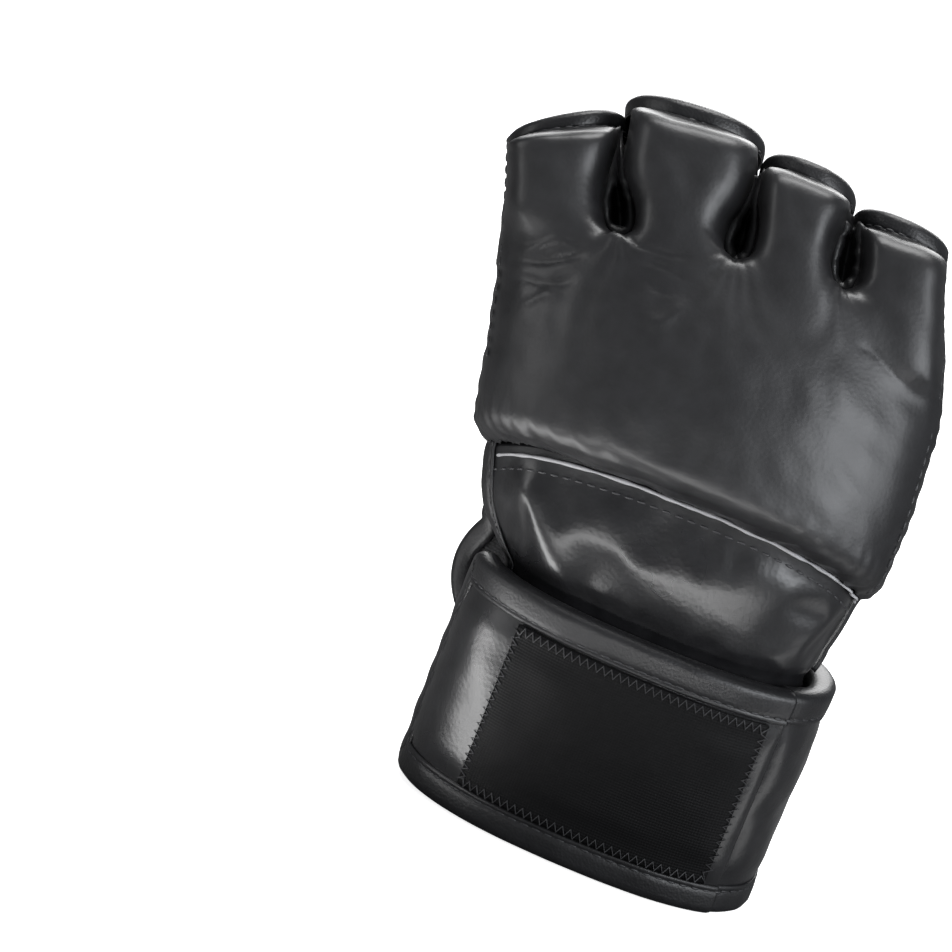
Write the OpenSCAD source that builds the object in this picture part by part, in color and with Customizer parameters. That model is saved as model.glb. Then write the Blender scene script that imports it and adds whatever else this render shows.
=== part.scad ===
// Open-finger grappling glove for the right hand, standing on the rim of its cuff.
// +Z runs from the wrist to the fingers, the back of the hand faces -Y, the palm +Y,
// the thumb side is -X and the little finger side +X.
//
// Each layer of the glove is a slab between two grids of points. A grid lies on the
// hollow that the hand fills: t is the angle round that hollow (0 at the little finger,
// 90 at the palm, 180 at the thumb, 270 at the back of the hand), s is the distance
// along the hand from the floor, and d is the distance outwards from the hollow.

/* [Wrist] */
// Height of the wrist cuff
cuff_h = 64; // [50:1:80]
// Width of the hollow at the wrist
wrist_w = 76; // [70:1:88]
// Depth of the hollow at the wrist, from back to palm
wrist_d = 38; // [34:1:44]
// Angle round the cuff at which the strap leaves the fixed band
strap_root_t = 322; // [312:1:330]
// Angle round the cuff at which the strap ends, at the thumb
strap_end_t = 187; // [185:1:195]
// Angle round the cuff at which the fixed band ends, below the thumb
band_end_t = 171; // [160:1:174]
// How far that end is cut back beside the thumb, as an angle
band_cut_t = 26; // [16:1:30]
// Height at which the cut beside the thumb starts
band_cut_z = 26; // [16:1:32]
// Height over which that end is cut back
band_cut_h = 16; // [12:1:20]
// Height of the wrist panel's lower hem, inside the strap
hem_s = 14; // [8:1:24]
// Radius of the strap's corners, up and down
corner_z = 5; // [3:0.5:8]
// Radius of the strap's corners, as an angle round the cuff
corner_t = 8; // [5:1:12]

/* [Hand] */
// Distance along the hand to the crease where the fingers bend
knuckle_s = 150; // [140:1:160]
// Width of the hollow across the knuckles
knuckle_w = 114; // [104:1:122]
// How much thinner the hollow is at the knuckles than at the wrist
knuckle_thin = 9; // [4:1:12]
// How much deeper the hollow is at the middle of the palm
palm_swell = 6; // [3:1:8]
// Angle through which the hand curls from the cuff to the longest fingertip
curl = 26; // [16:1:32]
// How far the longest fingertip leans over towards the thumb
lean = 22; // [10:1:28]

/* [Fingers] */
// Distance along the hand to each finger's rim, from the index to the little finger
finger_s = [172, 184, 178, 174]; // [166:1:195]
// Outer width of each finger at its rim
finger_w = [26, 34, 26, 25]; // [23:1:36]
// Slot between two fingers at their rims
finger_gap = 3; // [2:0.5:5]
// Depth of each finger's hollow
finger_d = [25, 29, 29, 25]; // [22:1:30]

/* [Openings] */
// Palm leather between the cuff and the palm hole
palm_hole_up = 4; // [2:0.5:8]
// Length of the palm hole along the hand
palm_hole_h = 64; // [50:1:68]
// Part of the palm that the hole takes, as an angle
palm_hole_t = 104; // [84:1:108]
// How much higher the hole is at the thumb side
palm_hole_slant = 5; // [0:1:8]
// Middle of the thumb opening, along the hand
thumb_hole_s = 70; // [66:1:74]
// Length of the thumb opening along the hand
thumb_hole_h = 74; // [60:1:80]
// Width of the thumb opening, as an angle
thumb_hole_t = 42; // [34:1:46]
// How far the palm's edge stands out round the thumb
thumb_flare = 12; // [8:1:14]

/* [Padding] */
// Thickness of the foam over the back of the hand
pad_foam = 12.5; // [8:0.5:16]
// Thickness of that foam at the sides of the hand
pad_side_foam = 3; // [2:0.5:5]
// Thickness of the foam over the fingers
finger_foam = 11; // [7:0.5:13]
// Radius of the rounded end of a finger's pad
tip_round = 9; // [6:1:11]
// Foam left at the pad's thin edges
pad_skin = 0.8; // [0.5:0.1:1.2]
// Radius of the pad's rounded lower edge
pad_round = 12; // [8:1:16]
// Distance along the hand to the lower corners of the pad
pad_s = 84; // [80:1:90]
// How far the pad's lower edge arches up over the wrist
pad_arch = 10; // [4:1:14]
// Thickness of the foam in the cuff
cuff_foam = 2.5; // [1.5:0.5:4]

/* [Covers] */
// Thickness of the leather
leather = 1.4; // [1:0.1:2]
// Thickness of the knitted lining
lining = 0.8; // [0.6:0.1:1.2]
// Width of the strip that stiffens the wrist, inside the back of the hand
stay_w = 13; // [8:1:18]
// Width of the tape that binds the edges of the cuff
tape_w = 6; // [4:0.5:8]
// Width of the tape that binds the holes and the finger rims
rim_w = 4.5; // [3:0.5:6]
// Thickness of the binding tape
tape = 0.7; // [0.5:0.1:1]
// Radius of the piping in the seams
piping_r = 1.2; // [0.8:0.1:1.8]

/* [Closure] */
// Thickness of the loop patch
loop_pile = 1.3; // [0.8:0.1:2]
// Thickness of the hook patch
hook_pile = 0.7; // [0.5:0.1:1]
// Part of the strap's end that the hook patch covers, as an angle
hook_t = 50; // [30:1:60]
// Angle round the cuff at which the loop patch starts, past the little finger
loop_start_t = 60; // [45:1:80]
// Thickness of the label patch
patch = 0.8; // [0.5:0.1:1.2]
// Bare leather between a patch and the binding tape
patch_margin = 1; // [0.8:0.1:3]
// Angle from the strap's root to the label patch
patch_inset_t = 5; // [4:1:12]
// Part of the strap that the label patch covers, as an angle
patch_t = 85; // [60:1:95]

/* [Clearances] */
// Gap between pieces that move apart
run_gap = 0.4; // [0.3:0.1:0.8]
// Gap between the tape round the thumb opening and the layers that it binds
notch_gap = 1; // [0.9:0.1:1.2]
// Gap between the cuff's inner tape and the glove inside it
cuff_gap = 1; // [0.8:0.1:1.4]
// Gap between two layers, and between two pieces that meet in a seam
seam_gap = 0.4; // [0.4:0.1:0.6]

/* [Hidden] */
FINGERS = ["index", "middle", "ring", "little"];

black_leather = "#26262a";
black_tape = "#1b1b1e";
grey_knit = "#4a4c50";
black_pile = "#141416";
foam_grey = "#6d6f73";

squareness = 2.4;              // 2 is an ellipse, more is squarer
reach = max(finger_s);         // the longest fingertip
bend_r = (reach - cuff_h) / (curl * PI / 180);
leather_d = lining + seam_gap;   // where the leather starts, outside the lining
hand_wall = leather_d + leather;
cuff_wall = lining + cuff_foam + leather;
tape_leg = tape + seam_gap;     // what a leg of folded tape adds to a wall
cuff_lift = hand_wall + cuff_gap + tape_leg;    // from the hollow to the cuff's lining
strap_lift = max(hook_pile + seam_gap, tape_leg) + run_gap;
edge_rise = fold_stand(cuff_wall);
thumb_t = 180;                 // the seam on the thumb side
little_t = 360;                // the seam on the little finger side

// ---- the hollow -----------------------------------------------------------

function bent(v) = pow(abs(v), 2 / squareness) * sign(v);
function oval(t, a, b) = [a * bent(cos(t)), b * bent(sin(t))];
function mix(a, b, f) = a + (b - a) * f;
function steps(a, b, n) = [for (i = [0:n]) mix(a, b, i / n)];
function clamp01(v) = max(0, min(1, v));

// How far s has come from the cuff to a place further up.
function along(s, top) = clamp01((s - cuff_h) / (top - cuff_h));
function tilt(s) = curl * max(0, s - cuff_h) / (reach - cuff_h);
function spine(s) = [
    -lean * pow(max(0, s - cuff_h) / (reach - cuff_h), 1.4),
    bend_r * (1 - cos(tilt(s))),
    min(s, cuff_h) + bend_r * sin(tilt(s))
];
function hand_a(s) = mix(wrist_w, knuckle_w, sin(90 * pow(along(s, knuckle_s), 0.7))) / 2;
function hand_b(s) = (wrist_d + palm_swell * sin(180 * along(s, knuckle_s))
    - knuckle_thin * pow(along(s, knuckle_s), 2)) / 2;

// A point of a section that stands square to the hand's spine.
function placed(s, x, y) = spine(s) + [x, y * cos(tilt(s)), -y * sin(tilt(s))];
function hand_at(t, s, d) =
    let (o = oval(t, hand_a(s) + d, hand_b(s) + d)) placed(s, o.x, o.y);
function cuff_at(t, z, d) =
    let (o = oval(t, wrist_w / 2 + cuff_lift + d, wrist_d / 2 + cuff_lift + d)) [o.x, o.y, z];
// The way in which layers are laid on each other there.
function hand_out(t, s) = hand_at(t, s, 1) - hand_at(t, s, 0);

// ---- solids from grids ----------------------------------------------------

// A closed solid between two grids of points. With loop, each row closes on itself.
module slab(outer, inner, loop = false) {
    rows = len(outer);
    cols = len(outer[0]);
    n = rows * cols;
    last = loop ? cols - 1 : cols - 2;
    function id(r, c) = r * cols + c % cols;
    skin = [for (r = [0:rows - 2], c = [0:last]) each [
        [id(r, c), id(r + 1, c + 1), id(r, c + 1)], [id(r, c), id(r + 1, c), id(r + 1, c + 1)]
    ]];
    back = [for (f = skin) [f[0] + n, f[2] + n, f[1] + n]];
    low = [for (c = [0:last]) each [
        [id(0, c), id(0, c + 1), id(0, c + 1) + n], [id(0, c), id(0, c + 1) + n, id(0, c) + n]
    ]];
    high = [for (c = [0:last]) let (r = rows - 1) each [
        [id(r, c), id(r, c + 1) + n, id(r, c + 1)], [id(r, c), id(r, c) + n, id(r, c + 1) + n]
    ]];
    sides = loop ? [] : [for (r = [0:rows - 2]) let (e = cols - 1) each [
        [id(r, 0), id(r, 0) + n, id(r + 1, 0) + n], [id(r, 0), id(r + 1, 0) + n, id(r + 1, 0)],
        [id(r, e), id(r + 1, e) + n, id(r, e) + n], [id(r, e), id(r + 1, e), id(r + 1, e) + n]
    ]];
    polyhedron([each [for (g = outer) each g], each [for (g = inner) each g]],
        concat(skin, back, low, high, sides));
}

// Binding tape folded over an edge. at is the function of the surface, lane the [t, s]
// points along the edge, wall the thickness that is wrapped and w the width of each leg.
// The wall lies to the left of the lane, seen from outside.
module folded_tape(at, lane, wall, w, loop = false, gap = seam_gap) {
    n = len(lane);
    function spot(p, d) = at(p[0], p[1], d);
    function after(i) = spot(lane[loop ? (i + 1) % n : min(n - 1, i + 1)], 0);
    function before(i) = spot(lane[loop ? (i + n - 1) % n : max(0, i - 1)], 0);
    // The leg's far edge, laid on the surface at the distance w.
    foot = [for (i = [0:n - 1]) let (
        p = lane[i],
        side = unit(cross(spot(p, 1) - spot(p, 0), after(i) - before(i))),
        turn = spot(p, 0) - spot(p - [1, 0], 0),
        climb = spot(p + [-1, 1], 0) - spot(p - [1, 0], 0),
        skew = turn * climb,
        area = (turn * turn) * (climb * climb) - skew * skew)
        p + w / area * [(side * turn) * (climb * climb) - (side * climb) * skew,
            (side * climb) * (turn * turn) - (side * turn) * skew]];
    function leg(d) = [for (p = foot) spot(p, d)];
    function fold(d, stand) = [for (i = [0:n - 1])
        spot(lane[i], d) - stand * unit(spot(foot[i], d) - spot(lane[i], d))];
    stand = fold_stand(wall);
    top = wall + gap;
    slab([leg(-gap - tape), fold(-gap - tape, 0), fold(wall * 0.15, stand),
            fold(wall * 0.85, stand), fold(top + tape, 0), leg(top + tape)],
        [leg(-gap), fold(-gap, 0), fold(wall * 0.2, gap),
            fold(wall * 0.8, gap), fold(top, 0), leg(top)], loop);
}

// How far a folded tape stands past the edge that it wraps.
function fold_stand(wall) = 0.7 * (wall / 2 + tape);

// A round cord along a path.
module piping(path, out, r) {
    n = len(path);
    ahead = [for (i = [0:n - 1]) path[min(n - 1, i + 1)] - path[max(0, i - 1)]];
    side = [for (i = [0:n - 1]) unit(cross(out[i], ahead[i]))];
    sides = 6;
    function rim(q) = [for (i = [0:n - 1]) [for (k = [0:sides - 1]) let (a = 360 * k / sides)
        path[i] + side[i] * q * cos(a) + out[i] * q * sin(a)]];
    rings = rim(r);
    polyhedron([each [for (g = rings) each g]], concat(
        [for (i = [0:n - 2], k = [0:sides - 1]) let (m = (k + 1) % sides) each [
            [i * sides + k, (i + 1) * sides + m, i * sides + m],
            [i * sides + k, (i + 1) * sides + k, (i + 1) * sides + m]]],
        [[for (k = [0:sides - 1]) k]],
        [[for (k = [0:sides - 1]) (n - 1) * sides + sides - 1 - k]]));
}

function unit(v) = v / norm(v);

// Angles from a to b, closer together near both ends.
function fan(a, b, n) = [for (i = [0:n]) mix(a, b, 0.4 * i / n + 0.3 * (1 - cos(180 * i / n)))];
// Rises from 0 to 1 like a quarter of a circle.
function rise(v) = sqrt(max(0, 1 - pow(1 - clamp01(v), 2)));
function ease(v) = (1 - cos(180 * clamp01(v))) / 2;

// ---- edges round the thumb --------------------------------------------------

seam_t = 0.3;                  // half of the gap in a side seam, as an angle
rim_t = 15;                    // width of the rim tape at the thumb, as an angle
lip_s = thumb_hole_s - 0.97 * thumb_hole_h / 2;      // lowest point of the thumb lip
flare_h = 0.65 * thumb_hole_h;
hand_top = knuckle_s - run_gap / 2;
finger_foot = knuckle_s + run_gap / 2;
band_top_t = band_end_t - band_cut_t;

function notch(s) = sqrt(max(0, 1 - pow((s - thumb_hole_s) / (thumb_hole_h / 2), 2)));
function back_edge(s) = thumb_t + max(seam_t, thumb_hole_t / 2 * notch(s));
function palm_edge(s) = thumb_t - max(seam_t, thumb_hole_t / 2 * notch(s));
// The pad starts where the tape round the thumb opening ends.
function pad_edge(s) = let (far = thumb_hole_h / 2 + rim_w + seam_gap) thumb_t + max(seam_t,
    (thumb_hole_t / 2 + rim_t) * sqrt(max(0, 1 - pow((s - thumb_hole_s) / far, 2))));
// Rows that meet the thumb opening, by the angle round it from its lowest point. The tape
// and the layers that it binds share them.
lip_turn = acos((thumb_hole_s - lip_s) / (thumb_hole_h / 2));
cuff_turn = acos((thumb_hole_s - cuff_h) / (thumb_hole_h / 2));
low_steps = 5;                 // of these, up to the cuff's height, closer at the lip
notch_turns = concat([for (i = [0:low_steps]) mix(lip_turn, cuff_turn, pow(i / low_steps, 1.3))],
    [for (i = [1:5]) mix(cuff_turn, 180, i / 5)]);
function notch_s(turn) = thumb_hole_s - thumb_hole_h / 2 * cos(turn);
notch_rows = [for (a = notch_turns) notch_s(a)];
above_cuff_s = notch_rows[low_steps + 1];
below_cuff_s = notch_rows[low_steps - 1];
thumb_top = thumb_hole_s + thumb_hole_h / 2;

// How far the palm's lip stands out beside the thumb opening.
lip_t = 28;                    // how far round the palm the lip starts, as an angle
lip_from_t = band_top_t + 10;  // where it starts beside the cuff's fixed band
function flare(t, s) = t > thumb_t ? 0 :
    let (from = mix(lip_from_t, palm_edge(s) - lip_t, ease((s - cuff_h) / (flare_h - lip_t))))
    thumb_flare * pow(clamp01((t - from) / (palm_edge(s) - from)), 2)
    * sin(180 * pow(clamp01((s - lip_s) / flare_h), 0.85));
// The palm's layers lie square on its section, which the lip makes much flatter.
function palm_section(t, s) = let (f = flare(t, s)) oval(t, hand_a(s) + f, hand_b(s) + f);
function palm_at(t, s, d) =
    let (o = palm_section(t, s), e = unit(palm_section(t + 0.2, s) - palm_section(t - 0.2, s)))
    placed(s, o.x + d * e.y, o.y - d * e.x);

// ---- back of the hand -------------------------------------------------------

back_cols = 16;
function back_t(s) = fan(back_edge(s), little_t - seam_t, back_cols);
function pad_low(t) = pad_s + pad_arch * abs(sin(t));
function foam_over(t, s) = let (f = mix(pad_foam, finger_foam, along(s, knuckle_s)))
    pad_side_foam + (f - pad_side_foam) * pow(abs(sin(t)), 0.55);
// The pad thins out to a flat strip along the two side seams.
seam_strip_t = 4;
side_round_t = 12;
function side_rise(t, s) =
    rise((min(t - pad_edge(s), little_t - seam_t - t) - seam_strip_t) / side_round_t);
function pad_top(t, s, h) =
    leather_d + pad_skin + (foam_over(t, s) - pad_skin) * h * side_rise(t, s);

// Places along the pad: the rounded edge by its angle, then the rest by its share.
pad_turns = [0, 30, 60, 90];
pad_shares = [0.12, 0.22, 0.3, 0.62, 1];
function pad_s_at(t, v) = v >= 90
    ? mix(pad_low(t) + pad_round, hand_top, (v - 90) / 10)
    : pad_low(t) + pad_round * (1 - cos(v));
pad_rows = concat(pad_turns, [for (f = pad_shares) 90 + 10 * f]);
function pad_row(v, under, over) = [for (i = [0:back_cols])
    let (
        t0 = fan(0, 1, back_cols)[i],
        guess = mix(thumb_t, little_t, t0),
        s = pad_s_at(guess, v),
        t = mix(pad_edge(s), little_t - seam_t, t0),
        turn = min(v, 90)
    )
    hand_at(t, s - over * cos(turn), under ? leather_d : pad_top(t, s, sin(turn)) + over * sin(turn))];

lining_rows = concat([hem_s], notch_rows, [mix(thumb_top, hand_top, 0.5), hand_top]);
function back_row(s, d) = [for (t = back_t(s)) hand_at(t, s, d)];
function back_grid(d) = [for (s = lining_rows) back_row(s, d)];
module back_lining() color(grey_knit)
    slab(back_grid(lining), back_grid(0));

// The wrist panel ends below the pad's arched edge.
function wrist_top(f) = pad_low(mix(thumb_t, little_t, f)) - leather - 3 * seam_gap;
function wrist_row(d, low, v) = [for (f = fan(0, 1, back_cols))
    let (s = low < cuff_h - seam_gap ? low : mix(cuff_h, wrist_top(f), v),
        t = mix(back_edge(s), little_t - seam_t, f)) hand_at(t, s, d)];
function wrist_grid(d) = concat([wrist_row(d, hem_s, 0)],
    [for (i = [0:low_steps]) wrist_row(d, notch_rows[i], 0)],
    [for (v = [(above_cuff_s - cuff_h) / (wrist_top(0) - cuff_h), 1]) wrist_row(d, cuff_h, v)]);
module wrist_panel() color(black_leather)
    slab(wrist_grid(hand_wall), wrist_grid(leather_d));

module back_foam() color(foam_grey)
    slab([for (v = pad_rows) pad_row(v, false, 0)], [for (v = pad_rows) pad_row(v, true, 0)]);

module back_cover() color(black_leather)
    slab([for (v = pad_rows) pad_row(v, false, leather)], [for (v = pad_rows) pad_row(v, false, 0)]);

module pad_piping() color(black_leather) {
    lane = [for (f = fan(0, 1, back_cols)) let (
        s = pad_low(mix(thumb_t, little_t, f)) - leather - piping_r - seam_gap,
        t = mix(pad_edge(s) + seam_strip_t, little_t - seam_strip_t, f)) [t, s]];
    piping([for (p = lane) hand_at(p[0], p[1], hand_wall + piping_r + seam_gap)],
        [for (p = lane) hand_out(p[0], p[1])], piping_r);
}

// Strip that stiffens the wrist inside the back of the hand.
stay_first = 5;                // columns of the back left bare beside it
function between(a, b, f) = [for (i = [stay_first:back_cols - stay_first]) mix(a[i], b[i], f)];
function stay_grid(d) = let (rows = [for (s = [below_cuff_s, cuff_h, above_cuff_s]) back_row(s, d)]) [
    between(rows[1], rows[0], stay_w / 2 / (cuff_h - below_cuff_s)), between(rows[1], rows[1], 0),
    between(rows[1], rows[2], stay_w / 2 / (above_cuff_s - cuff_h))];
module wrist_stay() color(black_pile)
    slab(stay_grid(-seam_gap), stay_grid(-seam_gap - lining));

// ---- palm -------------------------------------------------------------------

palm_foot = cuff_h - edge_rise - tape_w;
palm_hole_s = cuff_h + palm_hole_up + palm_hole_h / 2;
// The panel's corner in the lip beside the thumb lies on this row of the opening.
corner_row = 2;
corner_s = notch_rows[corner_row];
// Steps along the panel's four sides: the thumb side, which follows the opening's rows,
// the knuckles, the little finger side and the cuff.
side_cols = [len(notch_rows) - corner_row + 2, 9, 7, 10];
function thumb_side_s(k) = let (n = len(notch_rows) - corner_row)
    k < n ? notch_rows[k + corner_row] : mix(thumb_top, hand_top, (k + 1 - n) / 3);
// The panel's lower edge dips into the lip beside the thumb.
function palm_low(t) = let (from = band_top_t + 1)
    mix(palm_foot, corner_s, sqrt(clamp01((t - from) / (palm_edge(corner_s) - from))));
function hole_point(a) =
    let (u = bent(cos(a)), v = bent(sin(a)))
    [90 + palm_hole_t / 2 * u, palm_hole_s + palm_hole_h / 2 * v + palm_hole_slant * u * (1 + v) / 2];
function border_point(side, k) = let (q = k / side_cols[side])
    side == 0 ? let (s = thumb_side_s(k)) [palm_edge(s), s]
    : side == 1 ? [mix(palm_edge(hand_top), seam_t, q), hand_top]
    : side == 2 ? [seam_t, mix(hand_top, cuff_h, k / (side_cols[2] - 1))]
    : let (t = mix(seam_t, palm_edge(corner_s), 1 - pow(1 - q, 1.3))) [t, palm_low(t)];
// Rings from the hole out to the panel's border, counted from the corner below the thumb.
// They stay level beside the border, except at that corner.
function level(side, k) = side == 0 ? min(2, 1.2 + k / 4)
    : side == 2 ? 1 + k / 2
    : side == 3 ? min(2, 0.85 + max(0, side_cols[3] - 2 - k) / 3) : 2;
function palm_grid(d) = [for (f = [0, 0.35, 0.7, 0.87, 1])
    [for (side = [0:3], k = [0:side_cols[side] - 1])
        let (hole = hole_point(90 * (side + k / side_cols[side]) - 45), border = border_point(side, k))
            palm_at(mix(border[0], hole[0], 1 - f), mix(border[1], hole[1], pow(1 - f, level(side, k))), d)]];

module palm_lining() color(grey_knit)
    slab(palm_grid(0), palm_grid(lining), loop = true);
module palm_panel() color(black_leather)
    slab(palm_grid(leather_d), palm_grid(hand_wall), loop = true);

palm_surface = function(t, s, d) palm_at(t, s, d);
module palm_hole_tape() color(black_tape)
    folded_tape(palm_surface, [for (k = [0:27]) hole_point(-360 * k / 28)], hand_wall, rim_w, loop = true);

// Up the palm's side of the opening and down the back's.
notch_last = len(notch_turns) - 1;
thumb_lane = concat([0], notch_turns, [for (i = [notch_last - 1:-1:0]) -notch_turns[i]]);
module thumb_hole_tape() color(black_tape)
    folded_tape(palm_surface, [for (a = thumb_lane) [thumb_t - thumb_hole_t / 2 * sin(a), notch_s(a)]],
        hand_wall, rim_w, loop = true, gap = notch_gap);

module side_piping(t, from) color(black_leather) {
    lane = steps(from, hand_top, 8);
    piping([for (s = lane) hand_at(t, s, hand_wall + pad_skin + seam_gap + piping_r)],
        [for (s = lane) hand_out(t, s)], piping_r);
}
module thumb_seam() side_piping(thumb_t, thumb_top + rim_w);
module little_seam() side_piping(little_t, cuff_h + tape + piping_r);

// ---- cuff: the fixed band ---------------------------------------------------

band_root_t = strap_root_t - 360;
cuff_foot = edge_rise;
cuff_head = cuff_h - edge_rise;
cuff_cols = 20;
function band_end(z) = band_end_t - band_cut_t * ease((z - band_cut_z) / band_cut_h);
function band_rows(foot, head) = concat([foot], steps(band_cut_z, band_cut_z + band_cut_h, 3), [head]);
function band_grid(d, inset = 0, from = band_root_t, rise = 0, cols = cuff_cols) =
    [for (z = band_rows(cuff_foot + rise, cuff_head - rise))
        [for (t = steps(from, band_end(z) - inset, cols)) cuff_at(t, z, d)]];
module band_layer(low, high) slab(band_grid(high), band_grid(low));

module band_lining() color(grey_knit) band_layer(0, lining);
module band_foam() color(foam_grey) band_layer(lining, lining + cuff_foam);
module band_leather() color(black_leather) band_layer(lining + cuff_foam, cuff_wall);

module cuff_tape(lane, d) folded_tape(function(t, z, out) cuff_at(t, z, d + out), lane, cuff_wall, tape_w);

module band_tape() color(black_tape) cuff_tape(concat(
    [for (t = steps(band_root_t, band_end(cuff_foot), cuff_cols)) [t, cuff_foot]],
    [for (z = steps(band_cut_z, band_cut_z + band_cut_h, 3)) [band_end(z), z]],
    [for (t = steps(band_end(cuff_head), band_root_t, cuff_cols)) [t, cuff_head]]), 0);

patch_d = cuff_wall + seam_gap;          // where a patch lies on the cuff
patch_rise = tape_w + patch_margin;      // from a layer's edge to a patch on it
patch_inset = 17;                        // the same at an end, as an angle
module loop_patch() color(black_pile)
    slab(band_grid(patch_d + loop_pile, patch_inset, loop_start_t, patch_rise, cuff_cols / 2),
         band_grid(patch_d, patch_inset, loop_start_t, patch_rise, cuff_cols / 2));

// ---- cuff: the strap over the back of the wrist -------------------------------

strap_foot = cuff_foot + run_gap;
strap_head = cuff_head;
strap_cols = 14;
root_gap_t = 0.6;              // gap at the strap's root, as an angle
function strap_end(z) = strap_end_t
    + corner_t * (1 - rise(min(z - strap_foot, strap_head - z) / corner_z));
strap_far_t = strap_root_t - root_gap_t;
strap_rows = let (c = corner_z) [strap_foot, strap_foot + c / 3, strap_foot + c, strap_head - c,
    strap_head - c / 3, strap_head];
function strap_grid(d) = [for (z = strap_rows)
    [for (t = steps(strap_end(z), strap_far_t, strap_cols)) cuff_at(t, z, strap_lift + d)]];
module strap_layer(low, high) slab(strap_grid(high), strap_grid(low));
// A rectangle on the strap, between its two tapes.
module strap_patch(from, to, low, high) {
    rows = [strap_foot + patch_rise, strap_head - patch_rise];
    slab([for (z = rows) [for (t = steps(from, to, strap_cols)) cuff_at(t, z, strap_lift + high)]],
         [for (z = rows) [for (t = steps(from, to, strap_cols)) cuff_at(t, z, strap_lift + low)]]);
}

module strap_lining() color(grey_knit) strap_layer(0, lining);
module strap_foam() color(foam_grey) strap_layer(lining, lining + cuff_foam);
module strap_leather() color(black_leather) strap_layer(lining + cuff_foam, cuff_wall);

module strap_tape() color(black_tape) cuff_tape(concat(
    [for (t = steps(strap_far_t, strap_end(strap_head), strap_cols)) [t, strap_head]],
    [for (i = [len(strap_rows) - 2:-1:1]) [strap_end(strap_rows[i]), strap_rows[i]]],
    [for (t = steps(strap_end(strap_foot), strap_far_t, strap_cols)) [t, strap_foot]]), strap_lift);

module hook_patch() color(black_pile)
    strap_patch(strap_end_t + patch_inset, strap_end_t + patch_inset + hook_t,
        -seam_gap - hook_pile, -seam_gap);
module label_patch() color(black_pile) {
    to = strap_far_t - patch_inset_t;
    strap_patch(to - patch_t, to, patch_d, patch_d + patch);
}

// ---- fingers ------------------------------------------------------------------

// Distance between neighbouring fingers where they leave the hand.
finger_pitch = (knuckle_w + 2 * hand_wall + 2 * pad_side_foam) / 4;
finger_side = hand_wall + pad_skin + seam_gap; // side wall of a padded finger
rims_w = finger_w[0] + finger_w[1] + finger_w[2] + finger_w[3] + 3 * finger_gap;
function rim_x(i) = -rims_w / 2 + finger_w[i] / 2
    + (i > 0 ? finger_w[0] + finger_gap : 0)
    + (i > 1 ? finger_w[1] + finger_gap : 0)
    + (i > 2 ? finger_w[2] + finger_gap : 0);
root_gap = 1;                  // gap between two fingers where they leave the hand
function up(i, s) = (s - knuckle_s) / (finger_s[i] - knuckle_s);
function finger_x(i, s) = mix((i - 1.5) * finger_pitch, rim_x(i), up(i, s));
function finger_a(i, s) = mix(finger_pitch - root_gap, finger_w[i], up(i, s)) / 2 - finger_side;
// The outer fingers sit a little nearer the palm.
function finger_y(i) = (max(finger_d) - finger_d[i]) / 4;
// foam is what the pad adds over the back of the finger, on top of d.
function finger_at(i, t, s, d, foam = 0) =
    let (o = oval(t, finger_a(i, s) + d, finger_d[i] / 2 + d + foam))
    placed(s, finger_x(i, s) + o.x, finger_y(i) + o.y);

finger_cols = 12;
sleeve_t = 4;                  // how far the sleeve reaches round to the back
// The outer fingers have thinner pads.
function pad_over(i) = finger_foam * finger_d[i] / max(finger_d);
// Places along a finger: by share up to the rounded end, then by its angle.
finger_rows = [0, 1, 30, 60, 90];
function foam_s(i, v) = let (end = finger_s[i] - rim_w - leather - seam_gap)
    v <= 1 ? mix(finger_foot, end - tip_round, v) : end - tip_round * (1 - sin(v));
function foam_h(v) = v <= 1 ? 1 : cos(v);
back_turns = fan(180 + sleeve_t, 360 - sleeve_t, finger_cols);
function pad_line(i, v, over) = let (s = foam_s(i, v)) [for (t = back_turns)
    finger_at(i, t, s + (v > 1 ? over * sin(v) : 0), leather_d + pad_skin + over, pad_over(i) * foam_h(v))];
function finger_line(i, s, d) = [for (t = back_turns) finger_at(i, t, s, d)];

module finger_foam_piece(i) color(foam_grey)
    slab([for (v = finger_rows) pad_line(i, v, 0)],
         [for (v = finger_rows) finger_line(i, foam_s(i, v), leather_d)]);
module finger_cover(i) color(black_leather) {
    skin = leather_d + pad_skin;
    slab([for (v = finger_rows) pad_line(i, v, leather), finger_line(i, finger_s[i], skin + leather)],
         [for (v = finger_rows) pad_line(i, v, 0), finger_line(i, finger_s[i], skin)]);
}
module finger_sleeve(i) color(black_leather) {
    rows = steps(finger_foot, finger_s[i], 2);
    turns = steps(-sleeve_t + 0.5, 180 + sleeve_t - 0.5, 12);
    slab([for (s = rows) [for (t = turns) finger_at(i, t, s, hand_wall)]],
         [for (s = rows) [for (t = turns) finger_at(i, t, s, leather_d)]]);
}
module finger_lining(i) color(grey_knit) {
    rows = steps(finger_foot, finger_s[i], 2);
    turns = [for (k = [0:15]) 22.5 * k];
    slab([for (s = rows) [for (t = turns) finger_at(i, t, s, lining)]],
         [for (s = rows) [for (t = turns) finger_at(i, t, s, 0)]], loop = true);
}
module finger_tape(i) color(black_tape)
    folded_tape(function(t, s, d) finger_at(i, t, s, d), [for (k = [15:-1:0]) [22.5 * k, finger_s[i]]],
        hand_wall + pad_skin, rim_w, loop = true);

// ---- pieces -------------------------------------------------------------------

back_lining();
wrist_panel();
back_foam();
back_cover();
pad_piping();
palm_lining();
palm_panel();
palm_hole_tape();
thumb_hole_tape();
thumb_seam();
little_seam();
wrist_stay();
band_lining();
band_foam();
band_leather();
band_tape();
loop_patch();
strap_lining();
strap_foam();
strap_leather();
strap_tape();
hook_patch();
label_patch();
for (i = [0:3]) {
    name = FINGERS[i];
    finger_lining(i);
    finger_foam_piece(i);
    finger_cover(i);
    finger_sleeve(i);
    finger_tape(i);
}
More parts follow.
